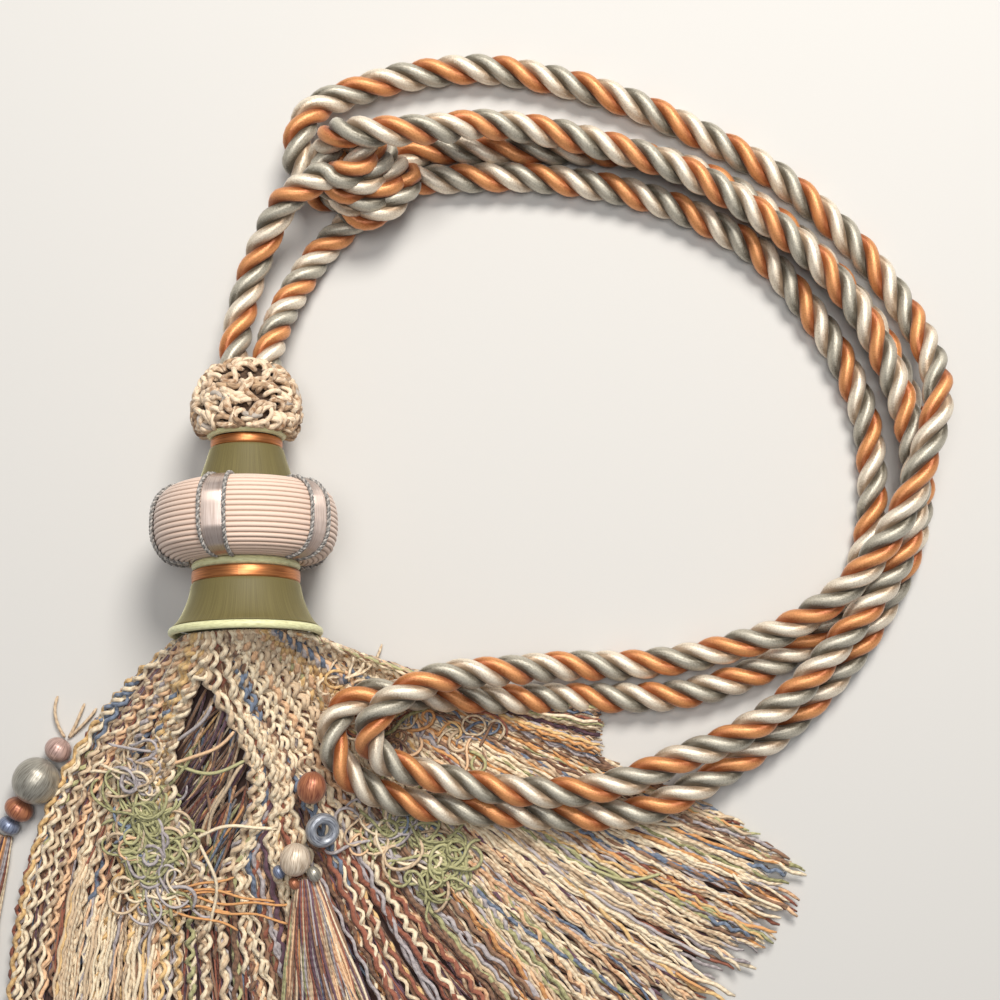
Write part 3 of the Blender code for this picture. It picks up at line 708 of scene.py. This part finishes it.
def gimp_plies(edge_deg):
    """Two plies wound round each other along one edge of a ribbon."""
    points, _ = along_outline(RIBBON_OUTLINE, GIMP_SPACING)
    angle = math.radians(edge_deg)
    radius = points[:, 0] + 0.2
    line = head_place(radius * math.sin(angle), radius * math.cos(angle), points[:, 1])
    keep_above(line, 2 * GIMP_RADIUS)
    side, up = carried_frames(line)
    turn = np.arange(len(line)) * GIMP_SPACING / GIMP_LAY * math.tau
    plies = []
    for ply in (0, 1):
        out = spokes(side, up, turn + ply * math.pi)
        plies.append((line + out * GIMP_RADIUS * 0.9, GIMP_RADIUS, ply, 0.5))
    return plies


for index in range(RIBBON_COUNT):
    middle = RIBBON_FIRST_DEG + index * 360 / RIBBON_COUNT
    strip = ribbon_skin(f"ribbon_{index + 1}_satin", middle)
    gimp = add_yarns(f"ribbon_{index + 1}_gimp",
                     gimp_plies(middle - GIMP_DEG) + gimp_plies(middle + GIMP_DEG), 6, GIMP)
    for piece in (strip, gimp):
        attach(piece, "root")
        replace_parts(piece, f"bulge_ribbon_{index + 1}")


# ---- Skirt ----------------------------------------------------------------
# Hundreds of cords sewn into the bell's mouth that fall over one another:
# crinkled boucle cords on the left, straighter yarns on the right, dark fine
# threads where they part, and snipped, curled ends lying on top.

MOUTH_RADIUS = 18.3
MOUTH_SHARE = 0.97             # how much of the mouth's width the cords leave from
MOUTH_STATION = -33.8
LEAVE_REACH = 0.48             # how long a cord keeps the direction it leaves in
TOUCH_DOWN = 0.16              # share of its length after which it lies on the surface
SUNK = 3.5                     # how far under the others a cord starts or ends
PARTING_MIDDLE = -12.0
PARTING_WIDTH = 13.0
PARTING_TOP = -44              # where along Y the skirt parts, and over what length
PARTING_LENGTH = 66
SHORT_REACH = 0.88             # a cord that ends before this share goes under the others
LOWEST_CORD = 0.7
LOWEST_THREAD = 0.6
LOWEST_BED = 0.3
BED_ROWS = 90
BED_STEPS = 60
SKIRT_LOCKS = [
    # tip_x, tip_y, tip_height, leave_deg from -Y towards +X, fall, dip
    (-73, -152, 6, -61, 5.5, 0),
    (-64, -175, 7, -45, 4.6, 0),
    (-44, -190, 8, -26, 3.6, 0),
    (-18, -198, 9, -14, 2.8, 5),
    (13, -202, 9, -4, 2.8, 5),
    (43, -199, 9, 6, 3.6, 0),
    (69, -191, 8, 15, 4.8, 0),
    (94, -179, 7, 24, 6.0, 0),
    (119, -164, 6, 32, 7.0, 0),
    (139, -147, 5, 39, 8.0, 0),
    (153, -133, 4, 45, 8.5, 0),
    (164, -119, 4, 50, 9.0, 0),
    (166, -105, 3, 55, 9.0, 0),
    (146, -89, 3, 60, 9.0, 0),
    (107, -66, 6, 64, 5.0, 0),
]
LOCK_TABLE = np.array(SKIRT_LOCKS, float)
skirt_cad = bpy.data.objects["skirt"].data
skirt_surface = BVHTree.FromPolygons([v.co[:] for v in skirt_cad.vertices],
                                     [p.vertices[:] for p in skirt_cad.polygons])


def surface_height(x, y):
    """Height of the skirt at a place, in mm, or of the floor beside it."""
    hit = skirt_surface.ray_cast(Vector((x, y, 200)) * MM, Vector((0, 0, -1)))[0]
    return hit.z / MM if hit else 0.0


def skirt_line(place, reach, wander=0.0, phase=0.0, depth=0.0, emerge=0.0, tip=None):
    """A cord's route from the mouth, at a place between the locks, wandering sideways as it goes.

    It starts under the top cords, and reaches its own depth where it emerges.
    """
    share = np.linspace(0, reach, max(8, int(170 * reach / 0.9)))
    places = np.clip(place + wander * share * np.sin(share * 9 + phase), -0.42, 14.2)
    row = at_rows(places, LOCK_TABLE)
    ends = np.column_stack([row[0] + np.minimum(places, 0) * 7, row[1]])
    if tip is not None:
        ends = np.repeat(np.array([tip], float), len(share), 0)
    side = MOUTH_RADIUS * MOUTH_SHARE * (min(place, 14) / 7 - 1)
    half = math.sqrt(max(MOUTH_RADIUS ** 2 - side ** 2, 1.0))
    sunk = depth + SUNK * np.clip(1 - share / (emerge + 1e-6), 0, 1) if emerge else depth
    top = head_place(side, half, MOUTH_STATION)
    start = (top + head_place(side, -half, MOUTH_STATION)) / 2
    leave = np.radians(row[3])
    length = np.linalg.norm(ends - start[:2], axis=1)
    turn = start[:2] + np.column_stack([np.sin(leave), -np.cos(leave)]) * (LEAVE_REACH * length)[:, None]
    s = share[:, None]
    plan = start[:2] * (1 - s) ** 2 + turn * 2 * s * (1 - s) + ends * s ** 2
    plan[:, 1] += (top[1] - start[1]) * np.maximum(0, 1 - share / TOUCH_DOWN)
    left = np.maximum(0, 1 - share)
    height = row[2] + (top[2] - row[2]) * left ** row[4] - row[5] * np.sin(math.pi * share) ** 2 - sunk
    if reach < SHORT_REACH:
        height -= SUNK * np.clip(1 - (reach - share) / 0.12, 0, 1) ** 2
    return part_cords(np.column_stack([plan, height]))


def part_cords(line):
    """Draws a route aside where the skirt parts, to the side on which it lies anyway."""
    inside = np.clip((PARTING_TOP - line[:, 1]) / PARTING_LENGTH, 0, 1)
    opened = np.sin(math.pi * inside)
    off = line[:, 0] - PARTING_MIDDLE
    way = 1 if (off * opened).sum() >= 0 else -1
    room = PARTING_WIDTH * opened * (0.9 + 0.1 * way) + 0.001
    share = np.clip(off * way / room, -4, 2)
    drawn = np.where(share < 0, 0.7 + 0.3 * np.exp(share), 1 + share / 2)
    aside = (off * way < 2 * room) & (opened > 0.01)
    line[:, 0] = np.where(aside, PARTING_MIDDLE + way * room * drawn, line[:, 0])
    return line


def even_steps(line, step):
    """The same route with points a step apart, in mm."""
    return even_points(line, max(3, int(run_of(line)[-1] / step)))


def places_between(first, last, count, edge=0.0):
    """Places spread over part of the mouth, each strayed a little within its own share of it."""
    for number in range(count):
        yield first + (last - first) * (number + dice.uniform(edge, 1 - edge)) / count


def crinkled(line, size, pitch, step):
    """A cord that winds round its own route, as boucle yarn does."""
    line, places = even_steps(line, step)
    side, up = carried_frames(line)
    turn = places / pitch * math.tau + dice.uniform(0, math.tau) + 1.2 * np.sin(places / dice.uniform(5, 9))
    uneven = 0.95 + 0.2 * np.sin(places / dice.uniform(4, 8) + dice.uniform(0, 6))
    grown = (np.minimum(1, places / 6) * size * uneven)[:, None]
    line = line + (side * np.cos(turn)[:, None] + up * np.sin(turn)[:, None] * 0.7) * grown
    keep_above(line, LOWEST_CORD)
    return line


def pick(weights):
    return int(dice.choice(len(weights), p=np.array(weights) / sum(weights)))


YARNS = [yarn_finish("yarn_" + name, light, shade) for name, light, shade in (
    ("cream", (0.93, 0.79, 0.57), (0.44, 0.28, 0.16)),
    ("beige", (0.72, 0.55, 0.37), (0.28, 0.17, 0.1)),
    ("peach", (0.88, 0.58, 0.35), (0.4, 0.19, 0.09)),
    ("brown", (0.32, 0.18, 0.11), (0.09, 0.045, 0.03)),
    ("blue", (0.22, 0.27, 0.36), (0.06, 0.075, 0.12)),
    ("lavender", (0.52, 0.47, 0.47), (0.2, 0.16, 0.17)),
    ("lime", (0.5, 0.48, 0.25), (0.18, 0.17, 0.07)),
    ("orange", (0.74, 0.38, 0.15), (0.32, 0.12, 0.04)),
    ("plum", (0.17, 0.09, 0.12), (0.05, 0.02, 0.03)),
    ("rust", (0.36, 0.13, 0.08), (0.12, 0.03, 0.02)),
    ("gold", (0.82, 0.56, 0.26), (0.4, 0.22, 0.08)),
)]
CREAM, BEIGE, PEACH, BLUE, LAVENDER, GREEN, ORANGE = 0, 1, 2, 4, 5, 6, 7
# Mixes of yarn: how many parts of each of these eleven.
PARTING_MIX = [3, 9, 5, 30, 4, 6, 6, 7, 16, 13, 2]
LEFT_MIX = [58, 17, 12, 5, 1, 2, 1, 0, 0, 0, 4]
DEEP_MIX = [9, 12, 8, 26, 3, 13, 4, 7, 8, 12, 3]
# The low cords hold more brown and beige than the top cords: painted shade for the cords that lie under the
# others.
LOW_MIX = [22, 24, 14, 20, 2, 6, 2, 2, 3, 4, 5]
SIDE_MIX = [18, 18, 6, 18, 7, 15, 7, 5, 4, 3, 5]
LOW_LEFT_MIX = [46, 17, 14, 6, 0, 3, 1, 2, 0, 2, 9]
FAN_MIX = [38, 14, 9, 7, 5, 12, 8, 5, 0, 1, 5]
UNDER_MIX = [2, 5, 3, 38, 5, 5, 3, 2, 20, 16, 1]
FLOSS_MIX = [62, 16, 8, 2, 0, 5, 0, 0, 0, 0, 7]
GREEN_MIX = [8, 8, 1, 0, 1, 8, 74, 0, 0, 0, 0]
GREY_MIX = [26, 14, 2, 0, 4, 44, 10, 0, 0, 0, 0]
DYED = [
    # place, shares of its length at which it comes up and goes down, yarn
    (-0.05, 0.17, 0.36, BLUE), (0.12, 0.15, 0.33, BLUE), (0.3, 0.19, 0.38, BLUE), (1.3, 0.08, 0.3, LAVENDER),
    (1.9, 0.1, 0.26, BLUE), (2.1, 0.16, 0.34, LAVENDER), (3.4, 0.3, 0.5, LAVENDER), (5.6, 0.04, 0.2, BLUE),
    (5.9, 0.05, 0.2, BLUE), (6.1, 0.2, 0.46, BLUE), (6.3, 0.24, 0.5, BLUE), (7.2, 0.3, 0.6, LAVENDER),
    (8.2, 0.4, 0.8, LAVENDER), (10.3, 0.87, 0.99, BLUE), (11.7, 0.9, 0.99, BLUE), (10.8, 0.6, 0.7, BLUE),
    (4.5, 0.5, 0.75, LAVENDER),
]


def keep_skirt(name, yarns):
    """One piece of the skirt, made of four-sided yarns."""
    piece = add_yarns(name, yarns, 4, YARNS)
    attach(piece, "root")
    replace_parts(piece, "skirt")


def crinkled_cords(first, last, count, depth, buried, longest=1.0, low=False):
    """Crinkled cords; the share of them that is buried comes out from under the others further down."""
    cords = []
    for place in places_between(first, last, count, 0.1):
        reach = dice.uniform(0.92, 1.0) if dice.random() < 0.85 else dice.uniform(0.45, 0.85)
        under = buried * (0.5 if 1.4 < place < 4.6 else 1.0)
        emerge = dice.uniform(0.06, 0.6) if dice.random() < under else 0.0
        deep = longest == 1 and dice.random() < np.interp(place, [3.2, 3.6, 6.4, 9.5], [0, 0.3, 0.55, 0.9])
        if deep:
            emerge = dice.uniform(0.4, 0.75)
        line = skirt_line(place, reach * longest, dice.uniform(0.05, 0.3), dice.uniform(0, math.tau),
                          depth + dice.uniform(-0.5, 0.5), emerge)
        mix = DEEP_MIX if deep else LOW_MIX if low else LOW_LEFT_MIX if place < 3.2 else LEFT_MIX
        size = dice.uniform(0.35, 0.8) if deep else dice.uniform(0.75, 1.05)
        pitch = dice.uniform(6, 11) if deep else dice.uniform(5.2, 7.2)
        cords.append((crinkled(line, size, pitch, 1.1), dice.uniform(0.66, 0.98), pick(mix),
                      dice.uniform(0.2, 0.8)))
    return cords


def dyed_lengths():
    """Short blue and lavender lengths of cord that come up between the others and go down again."""
    cords = []
    for place, first, last, yarn in DYED:
        whole = skirt_line(place, 1.0, 0.1, place * 9, -0.5)
        line = whole[int(first * len(whole)):int(last * len(whole))]
        t = np.linspace(0, 1, len(line))
        line[:, 2] -= 3.0 * (1 - np.sin(math.pi * t) ** 0.5)
        cords.append((crinkled(line, dice.uniform(0.6, 0.9), dice.uniform(4.5, 6), 1.1), 0.75, yarn, 0.5))
    return cords


def pale_floss(first, last, count):
    """Pale floss in a smooth flat bundle that comes out late, over the crinkled cords."""
    threads = []
    for place in places_between(first, last, count):
        across = (place - first) / (last - first) * 2 - 1
        line = skirt_line(place, dice.uniform(0.86, 1.0), dice.uniform(0.0, 0.06), dice.uniform(0, math.tau),
                          dice.uniform(-0.6, 0.8) - 1.6 * math.sqrt(1 - across ** 2))
        line = line[int(dice.uniform(0.56, 0.64) * len(line)):]
        line[:, 2] -= SUNK * np.clip(1 - np.arange(len(line)) / 12, 0, 1)
        threads.append((crinkled(line, dice.uniform(0.2, 0.6), dice.uniform(6, 14), 2.2),
                        dice.uniform(0.4, 0.65), pick(FLOSS_MIX), dice.uniform(0.3, 1.0)))
    return threads


def fan_yarns(first, last, count, depth, mix):
    """Straighter yarns that fan out to the right."""
    yarns = []
    for place in places_between(first, last, count):
        line = skirt_line(place, dice.uniform(0.9, 1.02), dice.uniform(0.05, 0.35), dice.uniform(0, math.tau),
                          depth + dice.uniform(-0.6, 0.7), dice.uniform(0.25, 0.6))
        yarns.append((crinkled(line, dice.uniform(0.25, 0.6), dice.uniform(7, 12), 2.2),
                      dice.uniform(0.52, 0.76), pick(SIDE_MIX if place > 12 else mix),
                      dice.uniform(0.2, 0.8)))
    return yarns


def side_bundle(count):
    """The short bundle on the far right, drawn straight and cut off square."""
    yarns = []
    for number in range(count):
        across = (number + dice.random()) / count
        tip = (106 + dice.uniform(-2.5, 1.5), -74 + 19 * across)
        depth = dice.uniform(-1.2, 4.5) - 2 * math.sin(math.pi * across)
        line = skirt_line(13.2 + 0.8 * across, 1.0, depth=depth, tip=tip)
        yarns.append((crinkled(line, dice.uniform(0.3, 0.7), dice.uniform(5, 9), 2.0),
                      dice.uniform(0.45, 0.65), pick(SIDE_MIX), dice.uniform(0.2, 0.8)))
    return yarns


def parting_threads(count):
    """Fine dark threads that cross the parting from upper right to lower left."""
    threads = []
    for _ in range(count):
        x = dice.uniform(-13, 2)
        y = dice.uniform(-88, -46)
        reach = dice.uniform(20, 36)
        lean = dice.uniform(0.25, 0.95)
        t = np.linspace(0, 1, 14)
        bow = dice.uniform(-4, 4)
        line = np.column_stack([x - reach * lean * t + bow * np.sin(math.pi * t), y - reach * t, t])
        level = dice.uniform(-4.2, -1.8)
        for point in line:
            point[2] = max(surface_height(point[0], point[1]) + level, LOWEST_THREAD)
        line[[0, -1], 2] -= 1.0
        line[1:-1, 2] = (line[:-2, 2] + line[1:-1, 2] + line[2:, 2]) / 3
        threads.append((line, dice.uniform(0.34, 0.6), pick(PARTING_MIX), dice.random()))
    return threads


def under_threads(first, last, count, depth):
    """Fine dark threads under the cords, which show in their gaps."""
    threads = []
    for place in places_between(first, last, count):
        line = skirt_line(place, dice.uniform(0.8, 0.97), dice.uniform(0.05, 0.4), dice.uniform(0, math.tau),
                          depth)
        line, _ = even_steps(line, 4.5)
        keep_above(line, LOWEST_THREAD)
        threads.append((line, dice.uniform(0.35, 0.55), pick(UNDER_MIX), dice.random()))
    return threads


def add_bed():
    """A dark sheet below the rest, painted shade that shows only between the cords."""
    rows = []
    for place in np.linspace(-0.3, 13.1, BED_ROWS):
        line = even_steps(skirt_line(place, 0.93, depth=3.2), 1.0)[0]
        shares = np.linspace(0, 1, BED_STEPS)
        rows.append(np.column_stack([np.interp(shares, np.linspace(0, 1, len(line)), column)
                                     for column in line.T]))
    grid = np.array(rows)
    keep_above(grid, LOWEST_BED)
    # Painted shade: the bed is dark so that the gaps between the cords look shaded.
    bed_shade = painted_gap_shade("skirt_bed_painted_shade", (0.11, 0.06, 0.045), (0.03, 0.015, 0.015), (1.2, 0.12, 0))
    bed = add_skin("skirt_bed", grid, bed_shade,
                   (np.arange(BED_ROWS)[:, None] * 2.0, np.arange(BED_STEPS) * 2.5, 0.0))
    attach(bed, "root")
    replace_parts(bed, "skirt")


def laid_curl(x, y, heading, length, bend, swing, lift, step=0.9):
    """A loose yarn that curls about on top of the skirt."""
    points = []
    way = heading
    phase = dice.uniform(0, math.tau)
    ground = 0.0
    for number in range(int(length / step)):
        way += (bend + swing * math.sin(number * step / 3.1 + phase)) * step
        x += math.cos(way) * step
        y += math.sin(way) * step
        rise = math.sin(math.pi * number * step / length)
        level = max(surface_height(x, y), LOWEST_BED)
        if number > 6 and level < ground - 3:
            break
        ground = level
        points.append((x, y, level + lift * (0.35 + 0.65 * rise)))
    line = np.array(points)
    soft = line[:, 2].copy()
    for _ in range(3):
        soft[1:-1] = (soft[:-2] + soft[1:-1] * 2 + soft[2:]) / 4
    line[:, 2] = np.maximum(soft, line[:, 2])
    return line


def tuft(x, y, radius, count, mix):
    """Many thin curled ends heaped together."""
    curls = []
    for _ in range(count):
        off = radius * math.sqrt(dice.random())
        turn = dice.uniform(0, math.tau)
        curls.append((laid_curl(x + off * math.cos(turn), y + off * math.sin(turn), dice.uniform(0, math.tau),
                                dice.uniform(10, 26), dice.choice([-1, 1]) * dice.uniform(0.06, 0.36),
                                dice.uniform(0.05, 0.3), dice.uniform(0.6, 3.0), 1.1),
                      dice.uniform(0.42, 0.62), pick(mix), dice.uniform(0.2, 0.9)))
    return curls


add_bed()
keep_skirt("skirt_under_threads", under_threads(-0.3, 13.2, 240, 2.2) + under_threads(-0.2, 8.2, 110, 1.7)
           + parting_threads(110))
keep_skirt("skirt_low_cords", crinkled_cords(-0.35, 2.2, 14, 1.5, 0.9, low=True)
           + crinkled_cords(2.2, 8.4, 46, 1.4, 0.9, low=True))
keep_skirt("skirt_top_cords", crinkled_cords(-0.35, 2.2, 13, 0.0, 0.7)
           + crinkled_cords(2.2, 8.6, 50, 0.0, 0.84) + crinkled_cords(8.6, 13.9, 26, 0.0, 0.4, 0.42)
           + crinkled_cords(5.4, 9.8, 20, 0.2, 0.0, 0.5) + dyed_lengths() + pale_floss(1.1, 2.6, 58))
keep_skirt("skirt_fan_yarns", fan_yarns(7.4, 13.3, 116, 1.0, DEEP_MIX)
           + fan_yarns(7.8, 13.25, 130, 0.0, FAN_MIX) + side_bundle(70))
curls = []
for x, y, radius, count, mix in (
        (-33, -76, 4.5, 30, GREY_MIX), (-32, -87, 4.5, 56, GREEN_MIX), (-31, -99, 4.5, 58, GREEN_MIX),
        (-28, -109, 5, 40, GREY_MIX), (40, -89, 7, 30, GREY_MIX), (46, -96, 7, 34, GREEN_MIX),
        (56, -106, 6, 28, GREEN_MIX), (29, -47, 2, 10, LEFT_MIX), (42, -62, 5, 26, DEEP_MIX),
        (66, -66, 6, 16, SIDE_MIX)):
    curls += tuft(x, y, radius, count, mix)
for _ in range(7):
    curls.append((laid_curl(dice.uniform(-40, -14), dice.uniform(-117, -110), dice.uniform(-0.15, 0.2),
                            dice.uniform(22, 38), dice.uniform(-0.015, 0.015), 0.06, 1.5), 0.42, ORANGE, 0.7))
for x, y, heading, length, bend, yarn in (
        (-8, -52, -1.9, 42, -0.035, LAVENDER), (-2, -60, -2.2, 34, -0.03, PEACH),
        (0, -70, -2.4, 30, 0.02, BEIGE), (-22, -88, -0.5, 40, -0.035, CREAM),
        (-20, -96, 0.5, 30, -0.03, CREAM), (-24, -70, -0.4, 26, 0.04, GREEN),
        (118, -90, -0.2, 14, 0.0, CREAM), (146, -106, -1.0, 20, 0.03, CREAM),
        (128, -136, -0.7, 12, 0.0, ORANGE), (100, -104, -0.4, 26, 0.03, GREEN)):
    curls.append((laid_curl(x, y, heading, length, bend, 0.04, 1.8), 0.55, yarn, 0.8))
keep_skirt("skirt_curled_ends", curls)


# ---- Beads ----------------------------------------------------------------
# Wooden beads bound from hole to hole in satin thread. Four hang on a string
# at the skirt's edge and three lie on the skirt, the middle one a plain ring.

def bead_thread(name, bright, shade, metal=0.35):
    """Satin thread wound from hole to hole, side by side."""
    return wound_finish(name, bright, shade, 0.36, (2.6, 0.25, 0.0), 2.0, (0.35, 0.6), (0.5, 0.18),
                        {"Metallic": metal, "Sheen Weight": 0.15})


def add_bead(name, centre, half_length, half_width, heading_deg, finish, hole=0.8, hollow=0.0):
    """A bead turned about its own hole; a hollow one is a plain ring seen from its face."""
    if hollow:
        angle = np.linspace(0, math.tau, 33)
        profile = np.column_stack([(half_width + hollow) / 2 + (half_width - hollow) / 2 * np.cos(angle),
                                   half_length * np.sin(angle)])
    else:
        angle = np.linspace(0.06, math.pi - 0.06, 33)
        profile = np.column_stack([np.maximum(half_width * np.sin(angle) ** 0.9, hole),
                                   -half_length * np.cos(angle)])
        profile = np.vstack([[hole * 0.8, -half_length * 0.6], profile, [hole * 0.8, half_length * 0.6]])
    spin = np.arange(BEAD_STEPS + 1) / BEAD_STEPS * math.tau
    way = math.radians(heading_deg)
    ahead = np.array([math.cos(way), math.sin(way), 0.0])
    side = np.array([-math.sin(way), math.cos(way), 0.0])
    up = np.array([0.0, 0.0, 1.0])
    if hollow:
        ahead, side, up = up * RING_UP + side * RING_LEAN, side * RING_UP - up * RING_LEAN, ahead
    around = spokes(side, up, spin)
    radius, station = profile.T[:, :, None, None]
    points = np.array(centre) + ahead * station + around * radius
    wrap = [spin * half_width, run_of(profile)[:, None]]
    if hollow:
        wrap.reverse()
    bead = add_skin(name, points, finish, (*wrap, 0.0))
    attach(bead, "root")
    return bead


BEAD_STEPS = 48
RING_UP, RING_LEAN = 0.92, 0.39         # the ring's hole stands up, leaning a little
STRING_DEG = -123                       # the way the side string runs, from +X
STRING_START = (-58.8, -66.0, 0)
BEAD_GAP = 0.3
FRONT_DEG = -100
PINK = bead_thread("bead_pink_satin", (0.62, 0.43, 0.38), (0.3, 0.18, 0.15))
PALE = bead_thread("bead_silver_satin", (0.46, 0.44, 0.38), (0.24, 0.22, 0.185), 0.55)
COPPER_THREAD = bead_thread("bead_copper_satin", (0.5, 0.2, 0.1), (0.24, 0.07, 0.04))
BLUE_THREAD = bead_thread("bead_blue_satin", (0.28, 0.33, 0.45), (0.1, 0.12, 0.2))
RING_THREAD = bead_thread("bead_ring_satin", (0.42, 0.45, 0.5), (0.14, 0.15, 0.19))
CREAM_THREAD = bead_thread("bead_cream_satin", (0.82, 0.7, 0.56), (0.46, 0.35, 0.25), 0.2)
string_way = np.array([math.cos(math.radians(STRING_DEG)), math.sin(math.radians(STRING_DEG)), 0])
string_end = np.array(STRING_START)
for name, half_length, half_width, finish in (
        ("side_bead_pink", 3.6, 4.2, PINK), ("side_bead_silver", 7.0, 7.2, PALE),
        ("side_bead_copper", 3.4, 4.6, COPPER_THREAD), ("side_bead_blue", 2.4, 3.4, BLUE_THREAD)):
    centre = string_end + string_way * half_length + np.array([0, 0, half_width])
    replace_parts(add_bead(name + "_satin", centre, half_length, half_width, STRING_DEG, finish), name)
    string_end = string_end + string_way * (2 * half_length + BEAD_GAP)
for name, centre, half_length, half_width, finish, hollow in (
        ("front_bead_copper", (19, -78.5, 20.7), 4.8, 4.4, COPPER_THREAD, 0),
        ("front_bead_ring", (22, -91.5, 18.0), 2.2, 5.2, RING_THREAD, 2.0),
        ("front_bead_cream", (14, -100, 19.6), 4.9, 4.6, CREAM_THREAD, 0)):
    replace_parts(add_bead(name + "_satin", centre, half_length, half_width, FRONT_DEG, finish, hollow=hollow),
                name)


# ---- Bead strings and drops -----------------------------------------------
# Each string of beads ends in a small brush of straight threads, knotted
# under its last bead. A few tiny beads and the string's loops lie beside them.

SIDE_DROP = [
    # x, y, half width, height
    (-78, -95.3, 2.6, 5), (-80.6, -104, 4.2, 7), (-84.5, -116, 6, 8), (-88.5, -132, 8, 7),
    (-92, -150, 9.5, 5),
]
FRONT_DROP = [
    (17, -106, 3, 6), (18, -114, 5.5, 7.5), (20, -130, 9.5, 8), (23, -149, 13.5, 7), (26, -168, 16, 5),
]
DROP_MIX = [8, 12, 12, 20, 2, 8, 5, 3, 8, 22, 0]


def drop_threads(sections, count, on_skirt):
    """Straight threads of a drop, heaped highest along its middle."""
    table = np.array(sections, float)
    ways = ways_along(table[:, :2])
    threads = []
    for _ in range(count):
        across = dice.uniform(-1, 1)
        share = dice.random() ** 0.6
        reach = dice.uniform(len(table) - 1.35, len(table) - 1)
        t = np.linspace(0, reach, 26)
        x, y, half_width, height = at_rows(t, table)
        way_x, way_y = at_rows(t, ways)
        sway = across + 0.12 * np.sin(t * dice.uniform(1.5, 3) + dice.uniform(0, 6)) * t / 4
        x = x - way_y * sway * half_width
        y = y + way_x * sway * half_width
        low = np.array([surface_height(a, b) for a, b in zip(x, y)]) + 0.8 if on_skirt else np.zeros(26)
        z = low + 0.5 + (height * (1 - 0.45 * across ** 2) - 0.9) * share
        threads.append((np.column_stack([x, y, z]), dice.uniform(0.34, 0.5), pick(DROP_MIX), dice.random()))
    return threads


for name, sections, count, on_skirt in (("side_drop", SIDE_DROP, 130, False),
                                        ("front_drop", FRONT_DROP, 220, True)):
    brush = add_yarns(name + "_threads", drop_threads(sections, count, on_skirt), 4, YARNS)
    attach(brush, "root")
    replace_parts(brush, name)
strings = [laid_curl(x, y, math.radians(heading), length, bend, swing, lift)
           for x, y, heading, length, bend, swing, lift in (
               (-59.0, -66.3, 128, 15, -0.07, 0.02, 1.6), (-59.0, -66.3, 42, 14, 0.02, 0.02, 1.6),
               (-59.0, -66.3, 50, 13, 0.03, 0.02, 1.6), (19, -73, 60, 12, 0.3, 0.2, 2.2),
               (21, -83, -80, 8, 0.1, 0, 2.6))]
loops = add_yarns("bead_string_loops", [(line, 0.5, BEIGE, 0.6) for line in strings], 5, YARNS)
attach(loops, "root")
for x, y, z, size, finish in ((9.0, -104, 17.8, 2.1, BLUE_THREAD), (19.5, -104.5, 18.4, 2.4, PALE),
                              (13.6, -107.3, 18.2, 1.9, COPPER_THREAD)):
    add_bead("tiny_bead", (x, y, z), size, size * 0.85, -60, finish, hole=0.4)
